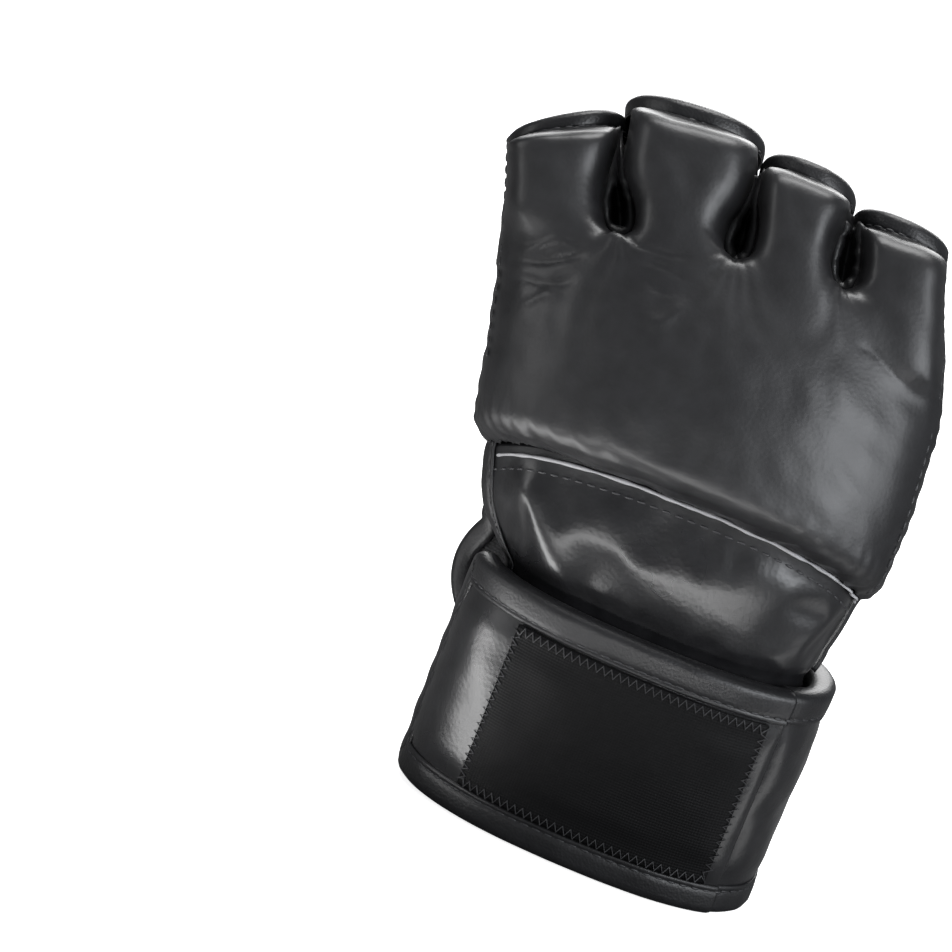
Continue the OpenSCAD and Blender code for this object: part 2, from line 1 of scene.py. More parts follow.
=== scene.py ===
# %% [markdown]
# # An open-finger grappling glove
# The glove stands on the rim of its cuff. The imported construction gives every piece's
# size and place, and this script gives the pieces their leather, foam and thread.
# Loading the frame comes first, and nothing here moves or resizes it.

# %% Load the frame
import math
import bpy
import numpy as np
from mathutils import Matrix, Vector
from mathutils.bvhtree import BVHTree


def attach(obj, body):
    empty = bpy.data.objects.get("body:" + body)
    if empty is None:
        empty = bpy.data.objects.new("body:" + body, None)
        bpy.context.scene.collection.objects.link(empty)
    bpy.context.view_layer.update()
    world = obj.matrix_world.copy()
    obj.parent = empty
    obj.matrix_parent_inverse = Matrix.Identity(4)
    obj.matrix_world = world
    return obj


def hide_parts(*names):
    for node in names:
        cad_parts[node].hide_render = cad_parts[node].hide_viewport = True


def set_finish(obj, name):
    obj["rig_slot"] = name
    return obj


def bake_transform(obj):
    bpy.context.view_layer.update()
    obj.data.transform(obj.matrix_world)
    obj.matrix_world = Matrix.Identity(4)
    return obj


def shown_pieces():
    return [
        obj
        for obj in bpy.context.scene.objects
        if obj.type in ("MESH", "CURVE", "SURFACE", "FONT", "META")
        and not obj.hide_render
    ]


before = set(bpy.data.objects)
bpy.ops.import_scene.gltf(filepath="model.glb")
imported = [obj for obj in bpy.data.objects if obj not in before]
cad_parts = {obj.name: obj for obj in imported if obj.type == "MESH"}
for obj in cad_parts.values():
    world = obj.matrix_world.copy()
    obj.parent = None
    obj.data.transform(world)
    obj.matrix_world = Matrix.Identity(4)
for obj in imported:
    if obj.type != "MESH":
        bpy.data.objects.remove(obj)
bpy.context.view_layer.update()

# %% [markdown]
# ## Sizes
# The driving sizes of the construction, in metres, with a few more for the looks. A
# glove is a tube that a hand fills, so most places are given on that hollow: t is the
# angle round it in degrees (0 at the little finger, 90 at the palm, 180 at the thumb,
# 270 at the back), s is the way along the hand from the cuff's rim, and d is how far a
# layer lies outside it.

# %% Sizes
MM = 0.001
cuff_h = 64 * MM
wrist_w, wrist_d = 76 * MM, 38 * MM
strap_root_t, strap_end_t = 322, 187
band_end_t, band_cut_t, band_cut_z, band_cut_h = 171, 26, 26 * MM, 16 * MM
hem_s, corner_z, corner_t = 14 * MM, 5 * MM, 8
knuckle_s, knuckle_w, knuckle_thin, palm_swell = 150 * MM, 114 * MM, 9 * MM, 6 * MM
curl, lean = 26, 25 * MM
finger_s = np.array([172, 184, 178, 174]) * MM
finger_w = np.array([26, 34, 26, 25]) * MM
finger_gap = 3 * MM
finger_d = np.array([25, 29, 29, 25]) * MM
palm_hole_s, palm_hole_h, palm_hole_t, palm_hole_slant = 100 * MM, 64 * MM, 104, 5 * MM
thumb_hole_s, thumb_hole_h, thumb_hole_t = 70 * MM, 74 * MM, 42
thumb_flare = 20 * MM
pad_foam, pad_side_foam, finger_foam = 12.5 * MM, 3 * MM, 11 * MM
pad_round, pad_s, pad_arch = 12 * MM, 84 * MM, 10 * MM
cuff_foam, leather, lining = 2.5 * MM, 1.4 * MM, 0.8 * MM
tape_w, rim_w, tape = 6 * MM, 4.5 * MM, 0.7 * MM
seam_gap, run_gap, cuff_gap = 0.4 * MM, 0.4 * MM, 1.0 * MM
hook_pile = 0.7 * MM
squareness, back_squareness = 2.4, 4.6
reach = finger_s.max()
bend_r = (reach - cuff_h) / math.radians(curl)
hand_wall, cuff_wall = lining + seam_gap + leather, lining + cuff_foam + leather
tape_leg = tape + seam_gap
cuff_lift = hand_wall + cuff_gap + tape_leg
strap_lift = max(hook_pile + seam_gap, tape_leg) + run_gap
print("reach", reach, "bend radius", round(bend_r, 4))

# %% [markdown]
# ## The hollow that the hand fills
# Every layer follows one hollow, so one set of functions places them all. The hand curls
# towards the palm, and a curl is awkward to model in. So the glove is shaped straight,
# in (x, y, s), and a single function bends the finished points into place.

# %% Functions of the hollow
def bent(v):
    return np.abs(v) ** (2 / squareness) * np.sign(v)


def oval(t, a, b):
    t = np.radians(t)
    return a * bent(np.cos(t)), b * bent(np.sin(t))


def mix(a, b, f):
    return a + (b - a) * f


def clamp01(v):
    return np.clip(v, 0, 1)


def ease(v):
    return (1 - np.cos(np.pi * clamp01(v))) / 2


def rise(v):
    """From 0 to 1 like a quarter of a circle."""
    return np.sqrt(np.maximum(0, 1 - (1 - clamp01(v)) ** 2))


def along(s, top):
    return clamp01((s - cuff_h) / (top - cuff_h))


def hand_a(s):
    return mix(wrist_w, knuckle_w, np.sin(np.pi / 2 * along(s, knuckle_s) ** 0.7)) / 2


def hand_b(s):
    f = along(s, knuckle_s)
    return (wrist_d + palm_swell * np.sin(np.pi * f) - knuckle_thin * f**2) / 2


slant_x = np.array([[-62, -33], [-32, 4.3], [4.7, 33], [33.2, 62]]) * MM
slant_s = np.array([[-12, 4], [-4, -1], [1, 1], [1.5, 1.5]]) * MM
thumb_pull = np.array([[80, 88, 100, 112, 125, 137, 148, 156, 164],
                       [0, -1, 0.9, 2.6, 3.4, 3.1, 1.6, 0, -1.5]]) * MM
little_pull = np.array([[58, 72, 86, 120, 140, 152, 165],
                        [0, 5.5, 6.5, 6, 5.4, 6.2, 7.6]]) * MM


def bend(p, finger=slice(None)):
    """Straight points (x, y, s) to points of the row frame. Each rim slants its own way,
    and both sides of the hand are drawn in."""
    x, y, s = np.moveaxis(np.asarray(p, float), -1, 0)
    slant = np.interp(x, slant_x[finger].ravel(), slant_s[finger].ravel())
    s = s + ease((s - knuckle_s) / (25 * MM)) * slant
    x = (x + np.interp(s, *thumb_pull) * clamp01(-x / (50 * MM))
         - np.interp(s, *little_pull) * np.clip(x / (58 * MM), 0, 1.1))
    over = np.maximum(s - cuff_h, 0) / (reach - cuff_h)
    turn = math.radians(curl) * over
    return np.stack([x - lean * over**1.4, bend_r - (bend_r - y) * np.cos(turn),
                     np.minimum(s, cuff_h) + (bend_r - y) * np.sin(turn)], -1)


def point(x, y, s):
    return np.stack(np.broadcast_arrays(x, y, s), -1)


def hand_at(t, s, d=0.0):
    """A straight point at angle t, way s and height d over the hollow."""
    return point(*oval(t, hand_a(s) + d, hand_b(s) + d), s)


def cuff_at(t, z, d=0.0):
    return point(*oval(t, wrist_w / 2 + cuff_lift + d, wrist_d / 2 + cuff_lift + d), z)


def angle_of(p):
    """The angle t of straight points."""
    a, b = hand_a(p[:, 2]) + hand_wall, hand_b(p[:, 2]) + hand_wall
    flat = lambda v: np.abs(v) ** (squareness / 2) * np.sign(v)
    return np.degrees(np.arctan2(flat(p[:, 1] / b), flat(p[:, 0] / a))) % 360


print("knuckles", bend(hand_at([0, 90, 180, 270], knuckle_s)).round(3).tolist())

# %% [markdown]
# ## Edges
# The thumb opening, the palm hole and the pad's arched lower seam are cut out of the
# same skin. Each edge is a formula of t and s, used both for the cut and for the tape
# or piping that covers it.

# %% Edges round the openings
seam_t = 0.3
lip_s = thumb_hole_s - 0.97 * thumb_hole_h / 2
flare_h = 0.75 * thumb_hole_h
corner_s = 39.4 * MM
thumb_top = thumb_hole_s + thumb_hole_h / 2
band_top_t = band_end_t - band_cut_t
edge_rise = 0.7 * (cuff_wall / 2 + tape)
palm_foot = cuff_h - edge_rise - tape_w


def notch(s, half=thumb_hole_h / 2):
    return np.sqrt(np.maximum(0, 1 - ((s - thumb_hole_s) / half) ** 2))


def palm_edge(s):
    return 180 - np.maximum(seam_t, thumb_hole_t / 2 * notch(s))


thumb_back_t = 9  # the opening stays low on its back side, under the pad's straight edge


def back_edge(s):
    return 180 + np.maximum(seam_t, thumb_back_t * notch(s))


def pad_edge(s):
    """The pad's edge beside the thumb opening and its tape."""
    beyond_tape = thumb_hole_h / 2 + rim_w + seam_gap
    return 180 + np.maximum(seam_t, (thumb_back_t + 3) * notch(s, beyond_tape))


def flare(t, s):
    """How far the palm's lip stands out beside the thumb opening."""
    start = mix(band_top_t + 10, palm_edge(s) - 28, ease((s - cuff_h) / (flare_h - 28 * MM)))
    share = clamp01((t - start) / (palm_edge(s) - start)) ** 2
    high = np.sin(np.pi * clamp01((s - lip_s) / flare_h) ** 0.68) ** 1.3
    back = clamp01((225 - t) / 40) ** 2 * np.sin(np.pi * clamp01((s - 58 * MM) / (36 * MM))) ** 2
    return np.where(t > 180, 5.5 * MM * back, thumb_flare * share * high)


def near_thumb(t):
    """1 beside the thumb, fading out over the back of the hand."""
    return ease((235 - t) / 40)


def palm_at(t, s, d=0.0):
    """Like hand_at, with the lip, and with d square to the section."""
    spot = lambda v: hand_at(v, s, flare(v, s))[..., :2]
    way = spot(t + 0.2) - spot(t - 0.2)
    way /= np.linalg.norm(way, axis=-1, keepdims=True)
    return point(spot(t)[..., 0] + d * way[..., 1], spot(t)[..., 1] - d * way[..., 0], s)


def pad_low(t):
    t = np.radians(t)
    return pad_s + 2.4 * MM + pad_arch * np.abs(np.sin(t))


def palm_low(t):
    start = band_top_t + 1
    share = clamp01((t - start) / (palm_edge(corner_s) - start))
    return mix(palm_foot, corner_s, np.sqrt(share))


def hole_point(turn):
    u, v = oval(turn, 1, 1)
    return (90 + palm_hole_t / 2 * u,
            palm_hole_s + palm_hole_h / 2 * v + palm_hole_slant * u * (1 + v) / 2)


print("palm hole", [round(float(v), 3) for v in hole_point(0)], "lip from", round(lip_s, 4))

# %% [markdown]
# ## Fingers
# Four short tubes leave the hand side by side. Each is narrowest where it leaves the
# hand, so that the slits between them are widest and roundest at the bottom.

# %% Functions of the fingers
finger_names = ["index", "middle", "ring", "little"]
pad_skin = 0.8 * MM
finger_side = hand_wall + pad_skin + seam_gap
finger_pitch = (knuckle_w + 2 * hand_wall + 2 * pad_side_foam) / 4
tip_round = 5.5 * MM
slit_wide, rim_touch = 7.4 * MM, 2.6 * MM
web_half, web_top = 1.5 * MM, 171 * MM
rims_w = finger_w.sum() + 3 * finger_gap
rim_x = np.array([-rims_w / 2 + finger_w[i] / 2 + finger_w[:i].sum() + i * finger_gap
                  for i in range(4)])
finger_y = (finger_d.max() - finger_d) / 4


def finger_up(i, s):
    """0 at the knuckles, 1 at the rim of finger i."""
    return (s - knuckle_s) / (finger_s[i] - knuckle_s)


def finger_x(i, s):
    return mix((i - 1.5) * finger_pitch, rim_x[i], finger_up(i, s))


def finger_half(i, s):
    """Outer half width of a finger."""
    return mix(finger_pitch - 1 * MM, finger_w[i] + rim_touch, finger_up(i, s)) / 2


slit_low = np.array([146.8, 151.6, 155.6]) * MM


def slit_half(k, s):
    """How much slit k takes off the finger beside it, at the back of the hand. A slit is
    round at the bottom and closes towards the rims. Below it the fingers overlap."""
    up = s - slit_low[k]
    above = mix(1, 0.05, ease((up - 5 * MM) / (15 * MM)))
    share = np.where(up < 5 * MM, rise(up / (5 * MM)), above)
    return np.where(up < 0, -1.6 * MM, slit_wide / 2 * share)


def finger_at(i, t, s, d=0.0, foam=0.0):
    """A straight point on finger i. The back is squarer than the palm, and foam is what
    the pad adds over it."""
    turn, back = np.radians(t), t > 180
    power = np.where(back & (np.asarray(foam) > 0), 2 / back_squareness, 2 / squareness)
    x, y = (np.abs(v) ** power * np.sign(v) for v in (np.cos(turn), np.sin(turn)))
    inner = np.where(x > 0, i < 3, i > 0)
    web = web_half * (1 - ease((s - web_top) / (4 * MM)))
    outer = mix(-1.6 * MM, 1.2 * MM, finger_up(i, s))
    outer = mix(outer, 1.4 * MM, ease((0.1 - y) / 0.5))
    slit = np.where(x > 0, min(i, 2), max(i - 1, 0))
    side = np.where(inner, -mix(-web, slit_half(slit, s), ease((-0.05 - y) / 0.45)), outer)
    half = finger_half(i, s) + side - finger_side + d
    high = finger_d[i] / 2 + d + np.where(back, foam, 0)
    return point(finger_x(i, s) + half * x, finger_y[i] + high * y, s)


def finger_pad(i, s):
    """Foam over the back of finger i, rounded off below its rim."""
    end = finger_s[i] - 3.6 * MM
    return finger_foam * finger_d[i] / finger_d.max() * rise((end - s) / tip_round)


def finger_near(p):
    """Which finger straight points belong to."""
    far = [np.abs(p[:, 0] - finger_x(i, np.minimum(p[:, 2], finger_s[i]))) for i in range(4)]
    return np.argmin(far, axis=0)


print("rims at x", (rim_x / MM).round(1).tolist())

# %% [markdown]
# ## Meshes from points
# Every piece below is made of the same few things: grids of points, closed solids between
# two grids, and profiles swept along an edge. The leather is one closed skin round the
# hand and the four fingers, which voxels melt together so that the slits end round.

# %% Mesh helpers
def linked(name, data):
    obj = bpy.data.objects.new(name, data)
    bpy.context.scene.collection.objects.link(obj)
    return obj


def make(name, points, faces):
    """A mesh object at the origin."""
    mesh = bpy.data.meshes.new(name)
    faces = faces.tolist() if isinstance(faces, np.ndarray) else faces
    mesh.from_pydata(np.asarray(points, float).reshape(-1, 3).tolist(), [], faces)
    mesh.validate()
    mesh.update()
    mesh.polygons.foreach_set("use_smooth", [True] * len(mesh.polygons))
    return linked(name, mesh)


def points_of(obj):
    """The points and the four-sided faces of a mesh with its modifiers."""
    done = obj.evaluated_get(bpy.context.evaluated_depsgraph_get()).to_mesh()
    p = np.empty(len(done.vertices) * 3)
    done.vertices.foreach_get("co", p)
    faces = [list(q.vertices) for q in done.polygons if len(q.vertices) == 4]
    return p.reshape(-1, 3), np.array(faces)


def quads(rows, cols, loop=False, tube=False):
    """Faces of a grid. With loop the rows close on themselves, with tube the columns do."""
    r, c = np.meshgrid(np.arange(rows if tube else rows - 1),
                       np.arange(cols if loop else cols - 1), indexing="ij")
    a, b = r * cols + c, r * cols + (c + 1) % cols
    up = lambda v: (v + cols) % (rows * cols)
    return np.stack([a, b, up(b), up(a)], -1).reshape(-1, 4)


def voxel_skin(loops, size):
    """One closed skin round several closed tubes, given as grids of points."""
    points, faces, n = [], [], 0
    for g in loops:
        rows, cols = g.shape[:2]
        a, b = np.arange(cols), (np.arange(cols) + 1) % cols
        end, last = rows * cols, (rows - 1) * cols
        caps = np.concatenate([np.stack([a * 0 + end, b, a], -1),
                               np.stack([a * 0 + end + 1, a + last, b + last], -1)])
        points += [g.reshape(-1, 3), [g[0].mean(0), g[-1].mean(0)]]
        faces += (quads(rows, cols, loop=True) + n).tolist() + (caps + n).tolist()
        n += end + 2
    obj = make("voxels", np.concatenate(points), faces)
    mod = obj.modifiers.new("voxels", "REMESH")
    mod.mode, mod.voxel_size = "VOXEL", size
    melted = points_of(obj)
    bpy.data.meshes.remove(obj.data)
    return melted


def edges_of(faces, rim=False):
    """Each edge once, or only the edges at the rim, along their face."""
    e = np.concatenate([faces[:, [k, (k + 1) % 4]] for k in range(4)])
    once, first, count = np.unique(np.sort(e, axis=1), axis=0, return_index=True,
                                   return_counts=True)
    return e[first[count == 1]] if rim else once


def relax(p, faces, rounds, where=None, plain=False):
    """Smooths a mesh without shrinking it much, or plainly."""
    e = edges_of(faces)
    count = np.bincount(e.ravel(), minlength=len(p))[:, None]
    p = p.copy()
    for k in range(2 * rounds):
        total = np.stack([np.bincount(e[:, 0], p[e[:, 1], c], len(p))
                          + np.bincount(e[:, 1], p[e[:, 0], c], len(p)) for c in range(3)], -1)
        step = (total / np.maximum(count, 1) - p) * (0.55 if plain or k % 2 == 0 else -0.57)
        p += step if where is None else step * where(p)[:, None]
    return p


print("a 3 by 3 grid has", len(quads(3, 3)), "faces")

# %% [markdown]
# ## Skin over foam
# The foam is thick over the back of the hand and thins out to nothing at the side seams
# and at the arched lower edge. Voxels melt the hand and the four fingers together, and
# smoothing takes the steps out. The lining is a second, plainer skin inside.


def pad_height(t, s):
    """What foam and cover add over the leather's base."""
    top = mix(pad_foam, finger_foam, along(s, knuckle_s))
    foam = pad_side_foam + (top - pad_side_foam) * np.abs(np.sin(np.radians(t))) ** 0.55
    edge = np.minimum(t - pad_edge(s), 360 - t)
    corner = mix(0.3, 0.6, np.abs(np.sin(np.radians(t))) ** 0.5) * pad_round
    share = rise((s - pad_low(t)) / corner) * rise((edge - 2) / 6)
    inside = (t > 180) & (s > pad_low(t)) & (edge > 0)
    return np.where(inside, pad_skin + (foam - pad_skin) * share, 0)


slit_x = [(finger_x(i, knuckle_s) + finger_x(i + 1, knuckle_s)) / 2 for i in range(3)]


def tubes(outer):
    t = np.arange(0, 360, 2.5)[None]
    top = np.interp(hand_at(t, knuckle_s)[..., 0], slit_x, slit_low - 1.2 * MM)
    s = mix(22 * MM, top, np.linspace(0, 1, 66)[:, None])
    hand = hand_at(t, s, hand_wall + pad_height(t, s) if outer else lining)
    loops = [hand]
    t = np.arange(0, 360, 4.0)[None]
    for i in range(4):
        s = np.arange(141, finger_s[i] / MM + 5, 1.5)[:, None] * MM
        loops.append(finger_at(i, t, s, hand_wall + pad_skin, finger_pad(i, s)) if outer
                     else finger_at(i, t, s, lining))
    return loops


def between(v, low, high, soft):
    """1 from low to high, fading out over soft on both sides."""
    return ease((v - low + soft) / soft) * ease((high + soft - v) / soft)


voxel, lining_voxel = 0.85 * MM, 1.8 * MM
skin, skin_faces = voxel_skin(tubes(True), voxel)
skin = relax(skin, skin_faces, 4)
near = lambda p: between(p[:, 2], 142 * MM, 163 * MM, 6 * MM)
skin = relax(skin, skin_faces, 12, near)


def shoulder(p):
    """The step from the hand to the fingers, away from the slits."""
    slit = sum(np.exp(-((p[:, 0] - x) / (6 * MM)) ** 2) * ease((p[:, 2] - low + 5 * MM) / (5 * MM))
               for x, low in zip(slit_x, slit_low))
    return between(p[:, 2], 142 * MM, 156 * MM, 9 * MM) * (1 - np.minimum(1, slit))


skin = relax(skin, skin_faces, 45, shoulder, plain=True)
inner, inner_faces = voxel_skin(tubes(False), lining_voxel)
inner = relax(inner, inner_faces, 3)
print("skin faces", len(skin_faces), "lining faces", len(inner_faces))

# %% [markdown]
# ## Which piece is it?
# Every small face of the skin belongs to the pad's cover, to the palm, to the wrist
# (whose panel is made later) or to nothing. The cuts between them are rough, and tape
# or piping covers each one.

# %% Cut the skin into panels
def thumb_far(t, s):
    """1 on the thumb opening's edge, less inside it."""
    wide = np.where(t < 180, thumb_hole_t / 2, thumb_back_t)
    return np.hypot((t - 180) / wide, (s - thumb_hole_s) / (thumb_hole_h / 2))


def panel_of(p, faces):
    """0 nothing, 1 the pad's cover, 2 the palm leather, 3 the wrist, for each face."""
    c = p[faces].mean(1)
    s, t = c[:, 2], angle_of(c)
    i = finger_near(c)
    finger = s > knuckle_s
    seam_y = np.where(finger, finger_y[i] - 3 * MM, -2.5 * MM * ease((s - pad_s) / (30 * MM)))
    back = c[:, 1] < seam_y
    label = np.where(back, 1, 2)
    label[back & ~finger & (s < pad_low(t))] = 3
    u = (t - 90) / (palm_hole_t / 2)
    v = (s - palm_hole_s - palm_hole_slant * u / 2) / (palm_hole_h / 2 + palm_hole_slant * u / 2)
    hole = ~back & ~finger & (np.abs(u) ** squareness + np.abs(v) ** squareness < 1)
    thumb = ~finger & (thumb_far(t, s) < 1)
    low = ~back & (s < palm_low(t))
    label[hole | thumb | low | (s > finger_s[i]) | (s < hem_s)] = 0
    return label


skin_label, inner_label = panel_of(skin, skin_faces), panel_of(inner, inner_faces)
print("faces per panel", np.bincount(skin_label).tolist())

# %% [markdown]
# ## Wrinkles
# Leather that is stretched over foam and pulled in by seams shows small, sharp folds next
# to the seams and broad, shallow ones in between. Each kind is added along the normals.

# %% Wrinkles in the pad's cover
def waves(p, scale, seed, count=24):
    """Smooth noise of unit size: a sum of cosines in random directions."""
    rng = np.random.default_rng(seed)
    way = rng.normal(size=(count, 3))
    length = 2 * np.pi / scale / np.linalg.norm(way, axis=1) * rng.uniform(0.6, 1.4, count)
    way *= length[:, None]
    return np.cos(p @ way.T + rng.uniform(0, 2 * np.pi, count)).sum(1) * math.sqrt(2 / count)


def fold_line(x, s, a, b, wide, seed):
    """A soft ridge from a to b (x and s in mm), wavering a little."""
    a, b = np.array(a) * MM, np.array(b) * MM
    way = b - a
    length = np.linalg.norm(way)
    way /= length
    q = (x - a[0]) * way[0] + (s - a[1]) * way[1]
    off = (x - a[0]) * way[1] - (s - a[1]) * way[0]
    rng = np.random.default_rng(seed)
    waver = q / length * 2 * np.pi * rng.uniform(0.6, 1.3) + rng.uniform(0, 6)
    end = ease(q / length * 3) * ease((1 - q / length) * 3)
    return np.exp(-((off + 0.8 * MM * np.sin(waver)) / (wide * MM)) ** 2) * end


def pad_wrinkles(p):
    x, y, s = p.T
    t = angle_of(p)
    h = 0.15 * MM * waves(p, 24 * MM, 3) + 0.05 * MM * waves(p, 8 * MM, 4)
    for k, (a, b, wide, high) in enumerate([
            ((-61, 132), (-36, 140), 0.8, -0.7), ((-59, 135), (-40, 142), 0.7, 0.5),
            ((-60, 127), (-39, 134), 0.8, -0.6), ((-56, 124), (-42, 129), 0.9, 0.45),
            ((-30, 146), (-8, 147), 0.6, -0.4), ((-27, 142), (-9, 143), 0.6, -0.35),
            ((-24, 138), (-11, 139), 0.6, -0.25), ((-22, 129), (-8, 137), 1.6, 0.45),
            ((36, 144), (56, 140), 0.8, -0.25)]):
        h = h + high * MM * fold_line(x, s, a, b, wide, 20 + k)
    for k, sx in enumerate(slit_x):
        dx, ds = x - sx, s - slit_low[k]
        far = np.hypot(dx, ds)
        turn = np.arctan2(ds, dx)
        ray = np.cos(turn * 9 + 2.0 * waves(p, 30 * MM, 31 + k))
        h = h + 0.22 * MM * ray * np.exp(-far / (9 * MM)) * (ds < 4 * MM)
    side = np.minimum(t - pad_edge(s), 360 - t)
    h = h - 0.4 * MM * np.exp(-((side - 4.5) / 1.0) ** 2) * (s < knuckle_s)
    pucker = np.cos(s / (5.2 * MM) * 2 * np.pi + 1.4 * waves(p, 26 * MM, 41))
    h = h + 0.13 * MM * pucker * between(side, 5, 14, 6) * (s < knuckle_s + 20 * MM)
    low = s - pad_low(t)
    pucker = np.cos(t / 6.5 * 2 * np.pi + 1.5 * waves(p, 30 * MM, 42))
    h = h + 0.08 * MM * pucker * between(low, 2 * MM, 6 * MM, 4 * MM)
    return h


def normals_of(p, faces):
    d = np.cross(p[faces[:, 2]] - p[faces[:, 0]], p[faces[:, 3]] - p[faces[:, 1]])
    n = np.stack([sum(np.bincount(faces[:, k], d[:, c], len(p)) for k in range(4))
                  for c in range(3)], -1)
    return n / np.maximum(np.linalg.norm(n, axis=1, keepdims=True), 1e-12)


n = normals_of(skin, skin_faces)
back = skin[:, 1] < 0
folds = pad_wrinkles(skin) * back
palm_folds = (0.22 * MM * waves(skin, 20 * MM, 6) + 0.1 * MM * waves(skin, 8 * MM, 7)) * ~back
print("pad's folds mm", [round(float(v / MM), 2) for v in (folds.min(), folds.max())])

# %% [markdown]
# ## Three skins
# On the real glove the cover, the palm leather and the lining are cut flat and sewn. Here
# each is the part of the melted skin that belongs to it, made thick inwards. They cross
# the knuckles, so they blend from the hand to the fingers.

# %% Cover, palm leather and lining
sheet, knit = 1.2 * MM, 0.7 * MM


def outwards(obj):
    """Turns every closed part of a mesh to face outwards."""
    import bmesh
    bm = bmesh.new()
    bm.from_mesh(obj.data)
    bmesh.ops.recalc_face_normals(bm, faces=bm.faces)
    bm.to_mesh(obj.data)
    bm.free()
    return obj


def riding(obj, body, slot, *nodes):
    """A piece of one body, or, if body is hinged, one with its place baked into its points and no
    body.
    """
    outwards(obj)
    if body == "hinged":
        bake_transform(obj)
    else:
        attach(obj, body)
    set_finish(obj, slot)
    if nodes:
        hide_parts(*nodes)
    return obj


def part_of(p, faces, keep):
    """The chosen faces of a mesh and the points they use."""
    f = faces[keep]
    used, back = np.unique(f, return_inverse=True)
    return p[used], back.reshape(f.shape)


def thick(name, p, faces, inward):
    """A closed sheet from an open surface, with its thickness on the inner side."""
    a, b = edges_of(faces, rim=True).T
    m = len(p)
    wall = np.stack([b, a, a + m, b + m], -1)
    return make(name, np.concatenate([p, p - normals_of(p, faces) * inward]),
                np.concatenate([faces, faces[:, ::-1] + m, wall]))


def lip(p, height):
    """Moves palm points out to the lip beside the thumb."""
    t, s = angle_of(p), p[:, 2]
    share = (t > 100) * (s < 130 * MM) * near_thumb(t)
    move = palm_at(t, s, height) - hand_at(t, s, height)
    return p + move * share[:, None]


def palm_part(p, final, faces, keep, height):
    """The chosen faces, with their rough edge pulled to the thumb opening's true edge."""
    rim = np.unique(edges_of(faces[keep], rim=True))
    t, s = angle_of(p[rim]), p[rim, 2]
    far = thumb_far(t, s)
    rim, t, s, far = (v[(far < 1.25) & (t < 190) & (far > 0.7)] for v in (rim, t, s, far))
    final = final.copy()
    t, s = 180 + (t - 180) / far, thumb_hole_s + (s - thumb_hole_s) / far
    final[rim] = bend(palm_at(t, s, height))
    return part_of(final, faces, keep)


skin_final = bend(lip(skin + n * folds[:, None] + n * palm_folds[:, None], hand_wall))
per_finger = lambda kind: [f"{name}_{kind}" for name in finger_names]
pad_cover = thick("pad_cover", *part_of(skin_final, skin_faces, skin_label == 1), sheet)
riding(pad_cover, "hinged", "pad_leather", "back_foam", "back_cover",
       *per_finger("foam"), *per_finger("cover"))
leather_part = palm_part(skin, skin_final, skin_faces, skin_label == 2, hand_wall)
palm_leather = thick("palm_leather", *leather_part, sheet)
riding(palm_leather, "hinged", "leather", "palm_panel", *per_finger("sleeve"))
lining_part = palm_part(inner, bend(lip(inner, lining)), inner_faces, inner_label > 0, lining)
riding(thick("inner_lining", *lining_part, knit), "hinged", "knit_lining",
       "back_lining", "palm_lining", *per_finger("lining"))
print("pad cover", len(pad_cover.data.polygons), "palm", len(palm_leather.data.polygons))

# %% [markdown]
# ## Tape and piping
# Binding tape is folded over a raw edge and sewn through. It is one profile swept along
# the edge: a leg outside, a fold round the edge and a leg inside. A sweep in code can
# give the legs their true width on a surface that curves two ways.

# %% Sweeps along an edge
def swept(name, rings, loop):
    """A closed solid from closed profile rings."""
    n, m = rings.shape[:2]
    faces = quads(n, m, loop=True, tube=loop).tolist()
    if not loop:
        faces += [list(range(m)), list(range((n - 1) * m, n * m))[::-1]]
    return make(name, rings, faces)


def unit(v):
    return v / np.maximum(np.linalg.norm(v, axis=-1, keepdims=True), 1e-12)


def ahead_of(path, loop=False):
    if loop:
        return unit(np.roll(path, -1, 0) - np.roll(path, 1, 0))
    return unit(np.gradient(path, axis=0))


def feet(at, lane, w, loop):
    """The far edge of a tape of width w that lies on the surface along a lane."""
    t, s = lane.T
    edge = at(t, s, 0.0)
    side = unit(np.cross(at(t, s, MM) - edge, ahead_of(edge, loop)))
    turn = edge - at(t - 1, s, 0.0)
    climb = (at(t - 1, s + MM, 0.0) - at(t - 1, s, 0.0)) / MM
    tt, cc, tc = (turn * turn).sum(1), (climb * climb).sum(1), (turn * climb).sum(1)
    a, b = (side * turn).sum(1), (side * climb).sum(1)
    area = tt * cc - tc * tc
    return lane + w / area[:, None] * np.stack([a * cc - b * tc, b * tt - a * tc], 1)


stitch_rows = {}


def tape_rings(at, lane, high, w, body, bump, loop=False, gap=0.25 * MM):
    """Profile rings of tape folded over an edge, in the space of at. Its seam is kept in
    stitch_rows, as a path and the way out of the surface."""
    foot = feet(at, lane, w, loop)
    across = np.array([1.0, 0.985, 0.9, 0.82, 0.78, 0.74, 0.7, 0.55, 0.35, 0.15, 0.0])
    rest = np.array([0.1, 0.55, 0.72, 0.66, 0.36, 0.62, 0.8, 0.95, 1.0, 1.0, 1.0]) * tape
    spot = lambda q, d: at(*(lane + (foot - lane) * q).T, d)
    away = lambda d: -unit(spot(0.05, d) - spot(0.0, d))
    rings = [spot(q, high + gap + h + bump * min(1, 4 * (1 - q))) for q, h in zip(across, rest)]
    r = high / 2 + gap / 2 + tape
    for turn in np.radians([25, 50, 75, 105, 130, 155]):
        d = high / 2 + (r + bump / 2) * math.cos(turn)
        rings.append(spot(0.0, d) + away(d) * (0.62 * r * math.sin(turn)))
    rings += [spot(q, -gap - h) for q, h in [(0, tape), (0.6, tape), (1, 0.1 * MM)]]
    rings += [spot(q, -gap * 0.5) for q in (1.0, 0.2)]
    rings += [spot(q, high + gap * 0.5) for q in (0.2, 1.0)]
    line = spot(0.76, high + gap + 0.45 * tape)
    out = unit(spot(0.76, high + MM) - spot(0.76, high))
    stitch_rows.setdefault(body, []).append((line, out, loop))
    return np.stack(rings, 1)


